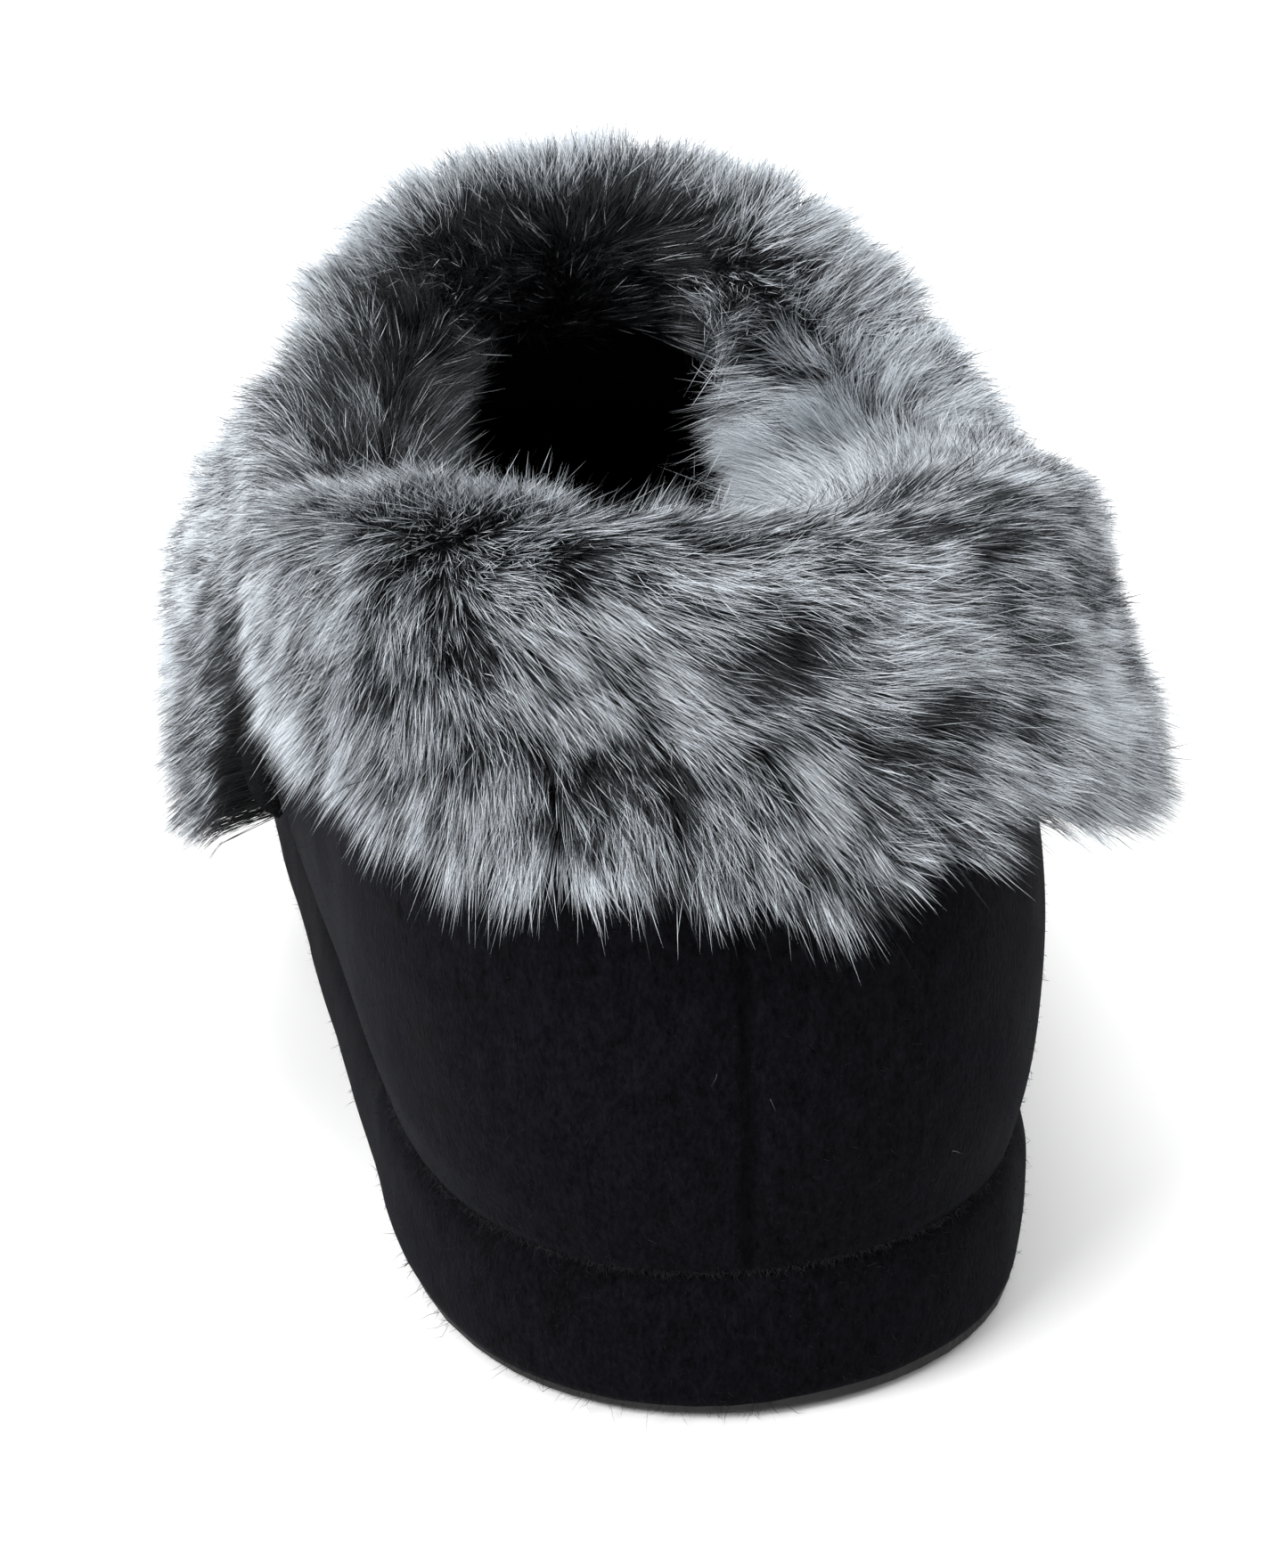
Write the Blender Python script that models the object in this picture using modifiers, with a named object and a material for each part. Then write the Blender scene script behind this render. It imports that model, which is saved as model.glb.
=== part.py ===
"""A left closed-back slipper: wrapped platform sole, lasted upper and a turned-down fur cuff in two pieces.

The part stands on its sole. X runs from the outer side of the foot (-) to the inner side (+), Y from heel to
toe and Z up, with the origin on the floor under the middle of the sole. Tables and sizes are in millimetres.
"""

import math
from collections import namedtuple

import bmesh
import bpy
from mathutils import Vector

MM = 0.001

# Sole sizes
SOLE_LENGTH = 262.0
OUTSOLE_THICKNESS = 1.8
OUTSOLE_INSET = 1.4
BAND_TOP_HEEL = 17.0
BAND_TOP_TOE = 15.6
TOE_SPRING = 6.0
TOE_SPRING_FROM = 188.0
HEEL_BEVEL = 0.5
HEEL_BEVEL_LENGTH = 16.0
ARCH_LIFT = 1.3
ARCH_FROM = 80.0
ARCH_TO = 125.0
GAP = 0.3

# Tread grooves in the outsole's underside
GROOVE_DEPTH = 0.9
GROOVE_WIDTH = 3.2
GROOVE_PITCH = 9.0
GROOVE_BORDER = 8.0
GROOVE_ROWS = {"heel": (22.0, 6), "forefoot": (139.0, 6)}

# Upper sizes
WALL = 3.0
FEATHER_INSET = 1.6
INSOLE_THICKNESS = 5.0
INSOLE_CLEARANCE = 0.6

# Collar: the upper's top edge, an oval seen from above whose front lies a little to the outer side
COLLAR_MIDDLE = 63.0
COLLAR_HALF_LENGTH = 56.0
COLLAR_HALF_WIDTH = 38.0
COLLAR_SQUARENESS = 0.8
COLLAR_FRONT_SHIFT = -2.5

# Cuff: two fur pieces that hook over the collar and meet at the side seams
CUFF_GAP = 0.6
SEAM_SECTION = 6
SEAM_HALF_GAP = 0.05
LOCK_OUT = 4.4
LOCK_DOWN = 5.6
LOCK_SWEEP = 2.0
LOCK_SPACING = 3
LOCK_EVENNESS = 0.8
HEM_LOCK = 6.5
HEM_FULLNESS = 0.55
PILE_CURVE = 1.5

# How finely the curved forms are faceted
STEPS_PER_SECTION = 3
UPPER_ROWS = 12
OUTER_LEAF_ROWS = 7
INNER_LEAF_ROWS = 2
CREST_POINTS = 4

Section = namedtuple(
    "Section", "station lateral medial collar_turn lean rise recline settle"
)

# One row for each section of the last, from the back of the heel to the tip of the toe.
# station: distance from the heel. lateral, medial: half widths of the sole to either side.
# collar_turn: the place on the collar, in degrees from its back, where the section's rib ends.
# lean, rise: how far out of plumb the rib starts, and how far it keeps that way.
# recline, settle: how far out of plumb the rib arrives at the collar, and how far it keeps that way.
SECTIONS = [
    Section(0.0, 0.0, 0.0, 0.0, 0.28, 26.0, 0.08, 26.0),
    Section(3.0, 13.0, 14.0, 13.0, 0.28, 26.0, 0.08, 26.0),
    Section(10.0, 22.4, 24.6, 24.0, 0.31, 26.0, 0.08, 26.0),
    Section(20.0, 29.2, 32.2, 36.0, 0.34, 26.0, 0.06, 26.0),
    Section(40.0, 35.1, 38.0, 54.0, 0.37, 26.0, 0.04, 26.0),
    Section(60.0, 36.9, 38.6, 70.0, 0.38, 26.0, 0.04, 26.0),
    Section(100.0, 40.2, 37.0, 95.0, 0.43, 26.0, 0.14, 28.0),
    Section(140.0, 43.2, 39.4, 118.0, 0.34, 28.0, 0.34, 36.0),
    Section(170.0, 45.4, 45.0, 135.0, 0.30, 30.0, 0.45, 44.0),
    Section(190.0, 45.6, 47.6, 146.0, 0.30, 32.0, 0.52, 50.0),
    Section(215.0, 42.0, 47.0, 157.0, 0.33, 34.0, 0.56, 56.0),
    Section(235.0, 33.6, 41.2, 165.0, 0.37, 36.0, 0.58, 60.0),
    Section(250.0, 21.0, 31.0, 171.0, 0.42, 37.0, 0.60, 62.0),
    Section(258.5, 8.6, 20.0, 176.0, 0.44, 38.0, 0.60, 62.0),
    Section(262.0, -6.0, 6.0, 180.0, 0.44, 38.0, 0.60, 62.0),
]

CollarRow = namedtuple("CollarRow", "turn height")

# The height of the upper's top edge, in degrees from the back of the collar, the same to either side.
COLLAR_ROWS = [
    CollarRow(0.0, 92.5),
    CollarRow(45.0, 91.0),
    CollarRow(95.0, 83.5),
    CollarRow(120.0, 91.5),
    CollarRow(150.0, 102.0),
    CollarRow(180.0, 105.0),
]

CuffRow = namedtuple("CuffRow", "turn crest hem low_pile high_pile lining depth")

# One row for each place along a fur piece, in degrees from the back of the collar towards the inner side.
# crest: how far the fur stands over the collar. hem: height of the lower edge between the locks.
# low_pile, high_pile: thickness of the fur outside the upper, near the hem and at the collar.
# lining, depth: thickness of the fur inside the upper, and how far down it reaches.
BACK_CUFF = [
    CuffRow(-95.0, 9.0, 66.0, 10.0, 5.0, 10.0, 25.0),
    CuffRow(-75.0, 10.0, 60.0, 12.0, 7.0, 10.0, 25.0),
    CuffRow(-40.0, 12.0, 62.0, 15.0, 10.5, 10.0, 26.0),
    CuffRow(0.0, 8.0, 66.0, 15.0, 10.5, 10.0, 27.0),
    CuffRow(40.0, 8.0, 62.0, 15.5, 11.0, 11.0, 26.0),
    CuffRow(75.0, 8.5, 58.0, 18.0, 12.0, 12.0, 25.0),
    CuffRow(95.0, 8.5, 61.0, 17.5, 11.5, 12.0, 25.0),
]
FRONT_CUFF = [
    CuffRow(95.0, 8.5, 42.0, 15.5, 11.0, 12.0, 25.0),
    CuffRow(106.0, 8.5, 37.0, 16.0, 10.5, 12.0, 25.0),
    CuffRow(125.0, 9.0, 42.0, 15.0, 8.5, 12.0, 23.0),
    CuffRow(150.0, 9.5, 57.0, 14.0, 8.0, 11.0, 16.0),
    CuffRow(180.0, 10.0, 69.0, 13.0, 8.0, 10.0, 13.0),
    CuffRow(210.0, 9.5, 57.0, 14.0, 8.0, 10.0, 16.0),
    CuffRow(235.0, 9.0, 40.0, 15.0, 6.5, 10.0, 23.0),
    CuffRow(254.0, 9.0, 35.0, 14.5, 5.5, 10.0, 25.0),
    CuffRow(265.0, 9.0, 39.0, 12.0, 5.0, 10.0, 25.0),
]

Finish = namedtuple("Finish", "colour roughness")

FINISHES = {
    "outsole": Finish((0.030, 0.030, 0.032), 0.65),
    "midsole_band": Finish((0.012, 0.012, 0.014), 0.95),
    "insole": Finish((0.010, 0.009, 0.009), 0.95),
    "upper": Finish((0.011, 0.011, 0.013), 0.95),
    "cuff_back": Finish((0.26, 0.28, 0.30), 0.90),
    "cuff_front": Finish((0.26, 0.28, 0.30), 0.90),
}


def hermite(before, start, end, after, gaps, share):
    """A point between start and end on a smooth curve through four rows of numbers, gaps apart."""
    point = []
    for a, b, c, d in zip(before, start, end, after):
        leave = ((b - a) / gaps[0] * gaps[1] + (c - b) / gaps[1] * gaps[0]) / (gaps[0] + gaps[1])
        arrive = ((c - b) / gaps[1] * gaps[2] + (d - c) / gaps[2] * gaps[1]) / (gaps[1] + gaps[2])
        s2 = share * share
        s3 = s2 * share
        point.append(
            (2 * s3 - 3 * s2 + 1) * b
            + (s3 - 2 * s2 + share) * gaps[1] * leave
            + (3 * s2 - 2 * s3) * c
            + (s3 - s2) * gaps[1] * arrive
        )
    return point


def sole_rows():
    """The sections as one loop round the sole: heel, inner side, toe and outer side."""
    rows = []
    for s in SECTIONS:
        rows.append([s.medial, s.station, s.collar_turn, s.lean, s.rise, s.recline, s.settle])
    for s in reversed(SECTIONS[1:-1]):
        rows.append([-s.lateral, s.station, 360.0 - s.collar_turn, s.lean, s.rise, s.recline, s.settle])
    return rows


def around_sole():
    """Smooth rows round the sole, STEPS_PER_SECTION from each section to the next."""
    rows = sole_rows()
    count = len(rows)

    def row(i):
        lap, place = divmod(i, count)
        turned = list(rows[place])
        turned[2] += 360.0 * lap
        return turned

    smooth = []
    for i in range(count):
        four = [row(i + j) for j in (-1, 0, 1, 2)]
        gaps = [math.dist(a[:2], b[:2]) for a, b in zip(four, four[1:])]
        for step in range(STEPS_PER_SECTION):
            smooth.append(hermite(*four, gaps, step / STEPS_PER_SECTION))
    return smooth


AROUND = around_sole()
COLUMNS = len(AROUND)


def outward(index):
    """The level direction out of the sole's edge at a place round it."""
    a = AROUND[(index - 1) % COLUMNS]
    b = AROUND[(index + 1) % COLUMNS]
    return Vector((b[1] - a[1], a[0] - b[0], 0.0)).normalized()


def edge_point(index, inset):
    """A point inset from the sole's edge, as x, distance from the heel and 0."""
    row = AROUND[index % COLUMNS]
    return Vector((row[0], row[1], 0.0)) - outward(index) * inset


def toe_lift(station):
    past = max(0.0, station - TOE_SPRING_FROM) / (SOLE_LENGTH - TOE_SPRING_FROM)
    return TOE_SPRING * past * past


def floor_lift(station):
    """How far the outsole's underside stands off the floor: toe spring, arch and the heel's back edge."""
    lift = toe_lift(station)
    if ARCH_FROM < station < ARCH_TO:
        share = (station - ARCH_FROM) / (ARCH_TO - ARCH_FROM)
        lift += ARCH_LIFT * math.sin(math.pi * share) ** 2
    heel = max(0.0, 1.0 - station / HEEL_BEVEL_LENGTH)
    return lift + HEEL_BEVEL * heel * heel


def band_top(station):
    share = min(max(station / TOE_SPRING_FROM, 0.0), 1.0)
    return BAND_TOP_HEEL + (BAND_TOP_TOE - BAND_TOP_HEEL) * share + toe_lift(station)


def to_world(point):
    """From x, distance from the heel and height in millimetres to the part's frame in metres."""
    return Vector((point.x, point.y - SOLE_LENGTH / 2, point.z)) * MM


def row_at(rows, turn):
    """The sizes between a table's rows at a place round the collar."""
    last = len(rows) - 1
    i = max(j for j in range(last) if j == 0 or rows[j].turn <= turn)
    four = [rows[min(max(i + j, 0), last)] for j in (-1, 0, 1, 2)]
    gap = four[2].turn - four[1].turn
    gaps = [four[1].turn - four[0].turn or gap, gap, four[3].turn - four[2].turn or gap]
    return type(rows[0])(*hermite(*four, gaps, (turn - four[1].turn) / gap))


def collar_point(turn):
    """A point on the upper's top edge, and the level direction out of the collar there."""
    angle = math.radians(turn)
    side = math.copysign(abs(math.sin(angle)) ** COLLAR_SQUARENESS, math.sin(angle))
    point = Vector((
        COLLAR_HALF_WIDTH * side + COLLAR_FRONT_SHIFT * (1.0 - math.cos(angle)) / 2,
        COLLAR_MIDDLE - COLLAR_HALF_LENGTH * math.cos(angle),
        row_at(COLLAR_ROWS, abs((turn + 180.0) % 360.0 - 180.0)).height,
    ))
    out = Vector((COLLAR_HALF_LENGTH * math.sin(angle), -COLLAR_HALF_WIDTH * math.cos(angle), 0.0))
    return point, out.normalized()


def rib(index):
    """The four handles of the curve from the sole's edge up to the collar at a place round the sole."""
    turn, lean, rise, recline, settle = AROUND[index % COLUMNS][2:]
    start = edge_point(index, FEATHER_INSET)
    start.z = band_top(start.y) + GAP
    end, out_of_collar = collar_point(turn)
    up = Vector((0.0, 0.0, 1.0))
    leave = up + outward(index) * lean
    arrive = (up - out_of_collar * recline).normalized()
    return start, start + leave * rise, end - arrive * settle, end


RIBS = [rib(index) for index in range(COLUMNS)]


def upper_point(column, share):
    """A point on the upper's outside: column round the sole, share of the way up to the collar."""
    low = math.floor(column)
    part = column - low
    handles = [
        a.lerp(b, part) for a, b in zip(RIBS[low % COLUMNS], RIBS[(low + 1) % COLUMNS])
    ]
    rest = 1.0 - share
    weights = (rest**3, 3 * rest * rest * share, 3 * rest * share * share, share**3)
    return sum((h * w for h, w in zip(handles, weights)), Vector())


def upper_frame(column, share):
    """The outward normal and the upward direction on the upper's outside."""
    step = 0.01
    up = upper_point(column, share) - upper_point(column, share - step)
    along = upper_point(column + 0.5, share) - upper_point(column - 0.5, share)
    return along.cross(up).normalized(), up.normalized()


def share_at_height(column, height):
    """How far up its rib the upper reaches a height."""
    low, high = 0.0, 1.0
    for _ in range(24):
        middle = (low + high) / 2
        if upper_point(column, middle).z < height:
            low = middle
        else:
            high = middle
    return low


def material(name):
    finish = FINISHES[name]
    made = bpy.data.materials.new(name)
    made.use_nodes = True
    shader = made.node_tree.nodes["Principled BSDF"]
    shader.inputs["Base Color"].default_value = (*finish.colour, 1.0)
    shader.inputs["Roughness"].default_value = finish.roughness
    shader.inputs["Metallic"].default_value = 0.0
    return made


def new_object(name, bm, collection):
    """A smooth-shaded object with its faces pointing out, from a mesh that is closed or will be."""
    bmesh.ops.recalc_face_normals(bm, faces=bm.faces)
    mesh = bpy.data.meshes.new(name)
    bm.to_mesh(mesh)
    bm.free()
    mesh.shade_smooth()
    mesh.set_sharp_from_angle(angle=math.radians(50.0))
    obj = bpy.data.objects.new(name, mesh)
    collection.objects.link(obj)
    return obj


def loft(rings):
    """A mesh with a skin between each closed ring of points and the next."""
    bm = bmesh.new()
    loops = [[bm.verts.new(to_world(p)) for p in ring] for ring in rings]
    count = len(loops[0])
    for lower, higher in zip(loops, loops[1:]):
        for i in range(count):
            j = (i + 1) % count
            bm.faces.new((lower[i], lower[j], higher[j], higher[i]))
    return bm, loops


def close_across(bm, loop):
    """Fills a ring that runs round the sole with strips from its inner side to its outer side."""
    half = len(loop) // 2
    for i in range(half):
        strip = [loop[i], loop[i + 1], loop[-i - 1], loop[-i]]
        bm.faces.new(list(dict.fromkeys(strip)))


def sole_solid(name, levels, collection):
    """A solid of the sole's outline. levels, from the bottom up: an inset, and a height for each station."""
    rings = []
    for inset, height in levels:
        ring = []
        for index in range(COLUMNS):
            point = edge_point(index, inset)
            point.z = height(point.y)
            ring.append(point)
        rings.append(ring)
    bm, loops = loft(rings)
    close_across(bm, loops[0])
    close_across(bm, loops[-1])
    return new_object(name, bm, collection)


def half_widths(station):
    """The sole's reach to its outer and inner side at a distance from the heel."""
    half = COLUMNS // 2
    found = []
    for side in (range(half), range(COLUMNS - half, COLUMNS)):
        nearest = min(side, key=lambda i: abs(AROUND[i % COLUMNS][1] - station))
        found.append(abs(AROUND[nearest % COLUMNS][0]))
    return found[1], found[0]


def groove_cutters(collection):
    """One block for each tread groove, clear of the outsole's rim."""
    for zone, (first, count) in GROOVE_ROWS.items():
        for i in range(count):
            station = first + i * GROOVE_PITCH
            lateral, medial = half_widths(station)
            left = -lateral + GROOVE_BORDER
            right = medial - GROOVE_BORDER
            bpy.ops.mesh.primitive_cube_add(size=1.0)
            block = bpy.context.active_object
            block.name = f"groove_{zone}_{i}"
            block.scale = Vector((right - left, GROOVE_WIDTH, 2 * GROOVE_DEPTH)) * MM
            block.location = to_world(Vector(((left + right) / 2, station, 0.0)))
            for other in block.users_collection:
                other.objects.unlink(block)
            collection.objects.link(block)
            block.hide_render = True
            block.display_type = "WIRE"


def outsole(collection, cutters):
    levels = [
        (OUTSOLE_INSET + 0.6, floor_lift),
        (OUTSOLE_INSET, lambda s: floor_lift(s) + 0.5),
        (OUTSOLE_INSET, lambda s: floor_lift(s) + OUTSOLE_THICKNESS),
    ]
    obj = sole_solid("outsole", levels, collection)
    groove_cutters(cutters)
    cut = obj.modifiers.new("tread", "BOOLEAN")
    cut.operation = "DIFFERENCE"
    cut.operand_type = "COLLECTION"
    cut.collection = cutters
    cut.solver = "EXACT"
    return obj


def midsole_band(collection):
    """The suede-wrapped foam platform: full in the side, turned in under the upper and over the outsole."""

    def level(share):
        def height(station):
            bottom = floor_lift(station) + OUTSOLE_THICKNESS + GAP
            return bottom + (band_top(station) - bottom) * share

        return height

    levels = [
        (1.6, level(0.0)),
        (0.5, level(0.08)),
        (0.0, level(0.30)),
        (0.0, level(0.62)),
        (0.3, level(0.84)),
        (1.2, level(0.96)),
        (2.6, level(1.0)),
        (WALL + FEATHER_INSET + 3.0, level(1.0)),
    ]
    return sole_solid("midsole_band", levels, collection)


def insole(collection):
    inset = FEATHER_INSET + WALL + INSOLE_CLEARANCE

    def level(height):
        return lambda station: band_top(station) + GAP + height

    levels = [
        (inset, level(0.0)),
        (inset, level(INSOLE_THICKNESS - 1.2)),
        (inset + 1.5, level(INSOLE_THICKNESS)),
    ]
    return sole_solid("insole", levels, collection)


def upper(collection):
    """Vamp and quarters as one shell, open at the collar and underneath."""
    rings = []
    for row in range(UPPER_ROWS + 1):
        share = row / UPPER_ROWS
        rings.append([upper_point(column, share) for column in range(COLUMNS)])
    bm, _ = loft(rings)
    obj = new_object("upper", bm, collection)
    wall = obj.modifiers.new("wall", "SOLIDIFY")
    wall.thickness = WALL * MM
    wall.offset = -1.0
    wall.use_even_offset = True
    wall.use_rim = True
    return obj


def lock_push(column, row, out, up):
    """How far the fur leaves its even surface where it gathers to the tip of a lock."""
    if column != round(column) or (round(column) + (row % 2) * 2) % LOCK_SPACING:
        return Vector()
    length = LOCK_EVENNESS + (1.0 - LOCK_EVENNESS) * math.sin(column * 1.7 + row * 2.3)
    sweep = up.cross(out) * -LOCK_SWEEP
    if row == 0:
        return (sweep - up * HEM_LOCK) * length
    return (sweep + out * LOCK_OUT - up * LOCK_DOWN) * length


def collar_turn(column):
    low = math.floor(column)
    here, there = (AROUND[i % COLUMNS][2] + 360.0 * (i // COLUMNS) for i in (low, low + 1))
    return here + (there - here) * (column - low)


def cuff_section(rows, column):
    """Two lines of points from the outer hem over the collar to the inner hem: the fur, and what it sits on."""
    turn = collar_turn(column)
    size = row_at(rows, turn)
    rim = upper_point(column, 1.0)
    rim_out, rim_up = upper_frame(column, 1.0)
    hem = share_at_height(column, size.hem)
    inner_hem = share_at_height(column, rim.z - size.depth)
    inside = WALL + size.lining
    fur = []
    seat = []
    for row in range(OUTER_LEAF_ROWS + 1):
        share = hem + (1.0 - hem) * row / OUTER_LEAF_ROWS
        out, up = upper_frame(column, share)
        on_wall = upper_point(column, share)
        rounding = HEM_FULLNESS if row == 0 else 1.0
        flare = (1.0 - row / OUTER_LEAF_ROWS) ** PILE_CURVE
        pile = size.high_pile + (size.low_pile - size.high_pile) * flare
        fur.append(on_wall + out * pile * rounding + lock_push(column, row, out, up))
        seat.append(on_wall + out * CUFF_GAP)
    seat[-1] += rim_up * CUFF_GAP
    for i in range(1, CREST_POINTS + 1):
        angle = math.pi * i / (CREST_POINTS + 1)
        reach = size.high_pile if i <= CREST_POINTS / 2 else inside
        fur.append(rim + rim_out * math.cos(angle) * reach + rim_up * math.sin(angle) * size.crest)
        across = CUFF_GAP - (WALL + 2 * CUFF_GAP) * i / (CREST_POINTS + 1)
        seat.append(rim + rim_out * across + rim_up * CUFF_GAP)
    for row in range(INNER_LEAF_ROWS + 1):
        share = 1.0 + (inner_hem - 1.0) * row / INNER_LEAF_ROWS
        out, up = upper_frame(column, share)
        on_wall = upper_point(column, share)
        thin = 1.0 if row < INNER_LEAF_ROWS else HEM_FULLNESS
        fur.append(on_wall - out * (WALL + size.lining * thin))
        seat.append(on_wall - out * (WALL + CUFF_GAP))
        if row == 0:
            seat[-1] += rim_up * CUFF_GAP
    return fur, seat


def cuff(name, rows, first, last, collection):
    """A fur piece that hooks over the collar from one side seam to the other, its locks drawn out of it."""
    columns = [first, *range(math.ceil(first), math.floor(last) + 1), last]
    sections = [cuff_section(rows, column) for column in columns]
    bm, loops = loft([fur + seat[::-1] for fur, seat in sections])
    for loop in (loops[0], loops[-1]):
        for i in range(len(loop) // 2 - 1):
            bm.faces.new((loop[i], loop[i + 1], loop[-i - 2], loop[-i - 1]))
    return new_object(name, bm, collection)


def clear_scene():
    for obj in list(bpy.data.objects):
        bpy.data.objects.remove(obj, do_unlink=True)


def main():
    clear_scene()
    slipper = bpy.data.collections.new("slipper")
    cutters = bpy.data.collections.new("cutters")
    for collection in (slipper, cutters):
        bpy.context.scene.collection.children.link(collection)
    seam = SEAM_SECTION * STEPS_PER_SECTION
    made = [
        outsole(slipper, cutters),
        midsole_band(slipper),
        insole(slipper),
        upper(slipper),
        cuff("cuff_back", BACK_CUFF, SEAM_HALF_GAP - seam, seam - SEAM_HALF_GAP, slipper),
        cuff("cuff_front", FRONT_CUFF, seam + SEAM_HALF_GAP, COLUMNS - seam - SEAM_HALF_GAP, slipper),
    ]
    for obj in made:
        obj.data.materials.append(material(obj.name))


main()
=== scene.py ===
"""A left slipper: black suede upper and platform, and a turned-down cuff of frosted fur, over its solids.

X runs from the outer side of the foot (-) to the inner side (+), Y from heel to toe and Z up. The tables are
in millimetres and the meshes in metres.
"""

import math
from collections import namedtuple

import bpy
import numpy as np
from mathutils import Matrix, Vector, noise
from mathutils.kdtree import KDTree


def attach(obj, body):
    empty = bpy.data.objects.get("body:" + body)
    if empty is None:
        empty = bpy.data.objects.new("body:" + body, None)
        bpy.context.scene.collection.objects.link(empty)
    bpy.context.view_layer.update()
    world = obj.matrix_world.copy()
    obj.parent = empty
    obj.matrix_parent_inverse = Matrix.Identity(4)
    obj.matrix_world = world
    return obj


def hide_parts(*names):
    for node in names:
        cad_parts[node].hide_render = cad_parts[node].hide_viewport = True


bl_info = {
    "name": "Fur-cuffed slipper",
    "version": (1, 0, 0),
    "blender": (4, 5, 0),
    "location": "3D View > Sidebar > Slipper",
    "description": "Dresses the slipper's solids in suede, rubber and fur and sets up its studio picture",
    "category": "Object",
}

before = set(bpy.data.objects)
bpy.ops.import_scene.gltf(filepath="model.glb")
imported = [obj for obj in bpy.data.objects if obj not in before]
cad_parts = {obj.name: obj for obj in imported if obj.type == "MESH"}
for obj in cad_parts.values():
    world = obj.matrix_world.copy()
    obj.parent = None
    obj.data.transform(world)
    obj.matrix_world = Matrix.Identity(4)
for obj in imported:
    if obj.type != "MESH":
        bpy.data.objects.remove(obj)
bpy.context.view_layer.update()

MM = 0.001
BODY = "root"
SEED = 11

# The last and the collar, as the solids have them
SOLE_LENGTH = 262.0
BAND_TOP_HEEL = 17.0
BAND_TOP_TOE = 15.6
TOE_SPRING = 6.0
TOE_SPRING_FROM = 188.0
GAP = 0.3
WALL = 3.0
FEATHER_INSET = 1.6
COLLAR_MIDDLE = 63.0
COLLAR_HALF_LENGTH = 56.0
COLLAR_HALF_WIDTH = 38.0
COLLAR_SQUARENESS = 0.8
COLLAR_FRONT_SHIFT = -2.5
STEPS_PER_SECTION = 3
SEAM_COLUMN = 18
PILE_CURVE = 1.5

Section = namedtuple("Section", "station lateral medial collar_turn lean rise recline settle")

SECTIONS = [
    Section(0.0, 0.0, 0.0, 0.0, 0.28, 26.0, 0.08, 26.0),
    Section(3.0, 13.0, 14.0, 13.0, 0.28, 26.0, 0.08, 26.0),
    Section(10.0, 22.4, 24.6, 24.0, 0.31, 26.0, 0.08, 26.0),
    Section(20.0, 29.2, 32.2, 36.0, 0.34, 26.0, 0.06, 26.0),
    Section(40.0, 35.1, 38.0, 54.0, 0.37, 26.0, 0.04, 26.0),
    Section(60.0, 36.9, 38.6, 70.0, 0.38, 26.0, 0.04, 26.0),
    Section(100.0, 40.2, 37.0, 95.0, 0.43, 26.0, 0.14, 28.0),
    Section(140.0, 43.2, 39.4, 118.0, 0.34, 28.0, 0.34, 36.0),
    Section(170.0, 45.4, 45.0, 135.0, 0.30, 30.0, 0.45, 44.0),
    Section(190.0, 45.6, 47.6, 146.0, 0.30, 32.0, 0.52, 50.0),
    Section(215.0, 42.0, 47.0, 157.0, 0.33, 34.0, 0.56, 56.0),
    Section(235.0, 33.6, 41.2, 165.0, 0.37, 36.0, 0.58, 60.0),
    Section(250.0, 21.0, 31.0, 171.0, 0.42, 37.0, 0.60, 62.0),
    Section(258.5, 8.6, 20.0, 176.0, 0.44, 38.0, 0.60, 62.0),
    Section(262.0, -6.0, 6.0, 180.0, 0.44, 38.0, 0.60, 62.0),
]

CollarRow = namedtuple("CollarRow", "turn height")

COLLAR_ROWS = [
    CollarRow(0.0, 92.5),
    CollarRow(45.0, 91.0),
    CollarRow(95.0, 83.5),
    CollarRow(120.0, 91.5),
    CollarRow(150.0, 102.0),
    CollarRow(180.0, 105.0),
]

# Fur pieces, in degrees round the collar from the back towards the inner side.
# crest: fur over the collar. hem: height of the lower edge. low_pile, high_pile: fur near the hem and at the
# collar. lining, depth: fur inside, and how far down it reaches.
CuffRow = namedtuple("CuffRow", "turn crest hem low_pile high_pile lining depth")

BACK_CUFF = [
    CuffRow(-95.0, 9.0, 66.0, 10.0, 5.0, 10.0, 25.0),
    CuffRow(-75.0, 10.0, 60.0, 12.0, 7.0, 10.0, 25.0),
    CuffRow(-40.0, 12.0, 62.0, 15.0, 10.5, 10.0, 26.0),
    CuffRow(0.0, 8.0, 66.0, 15.0, 10.5, 10.0, 27.0),
    CuffRow(40.0, 8.0, 62.0, 15.5, 11.0, 11.0, 26.0),
    CuffRow(75.0, 8.5, 58.0, 18.0, 12.0, 12.0, 25.0),
    CuffRow(95.0, 8.5, 61.0, 17.5, 11.5, 12.0, 25.0),
]
FRONT_CUFF = [
    CuffRow(95.0, 8.5, 42.0, 15.5, 11.0, 12.0, 25.0),
    CuffRow(106.0, 8.5, 37.0, 16.0, 10.5, 12.0, 25.0),
    CuffRow(125.0, 9.0, 42.0, 15.0, 8.5, 12.0, 23.0),
    CuffRow(150.0, 9.5, 57.0, 14.0, 8.0, 11.0, 16.0),
    CuffRow(180.0, 10.0, 69.0, 13.0, 8.0, 10.0, 13.0),
    CuffRow(210.0, 9.5, 57.0, 14.0, 8.0, 10.0, 16.0),
    CuffRow(235.0, 9.0, 40.0, 15.0, 6.5, 10.0, 23.0),
    CuffRow(254.0, 9.0, 35.0, 14.5, 5.5, 10.0, 25.0),
    CuffRow(265.0, 9.0, 39.0, 12.0, 5.0, 10.0, 25.0),
]

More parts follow.
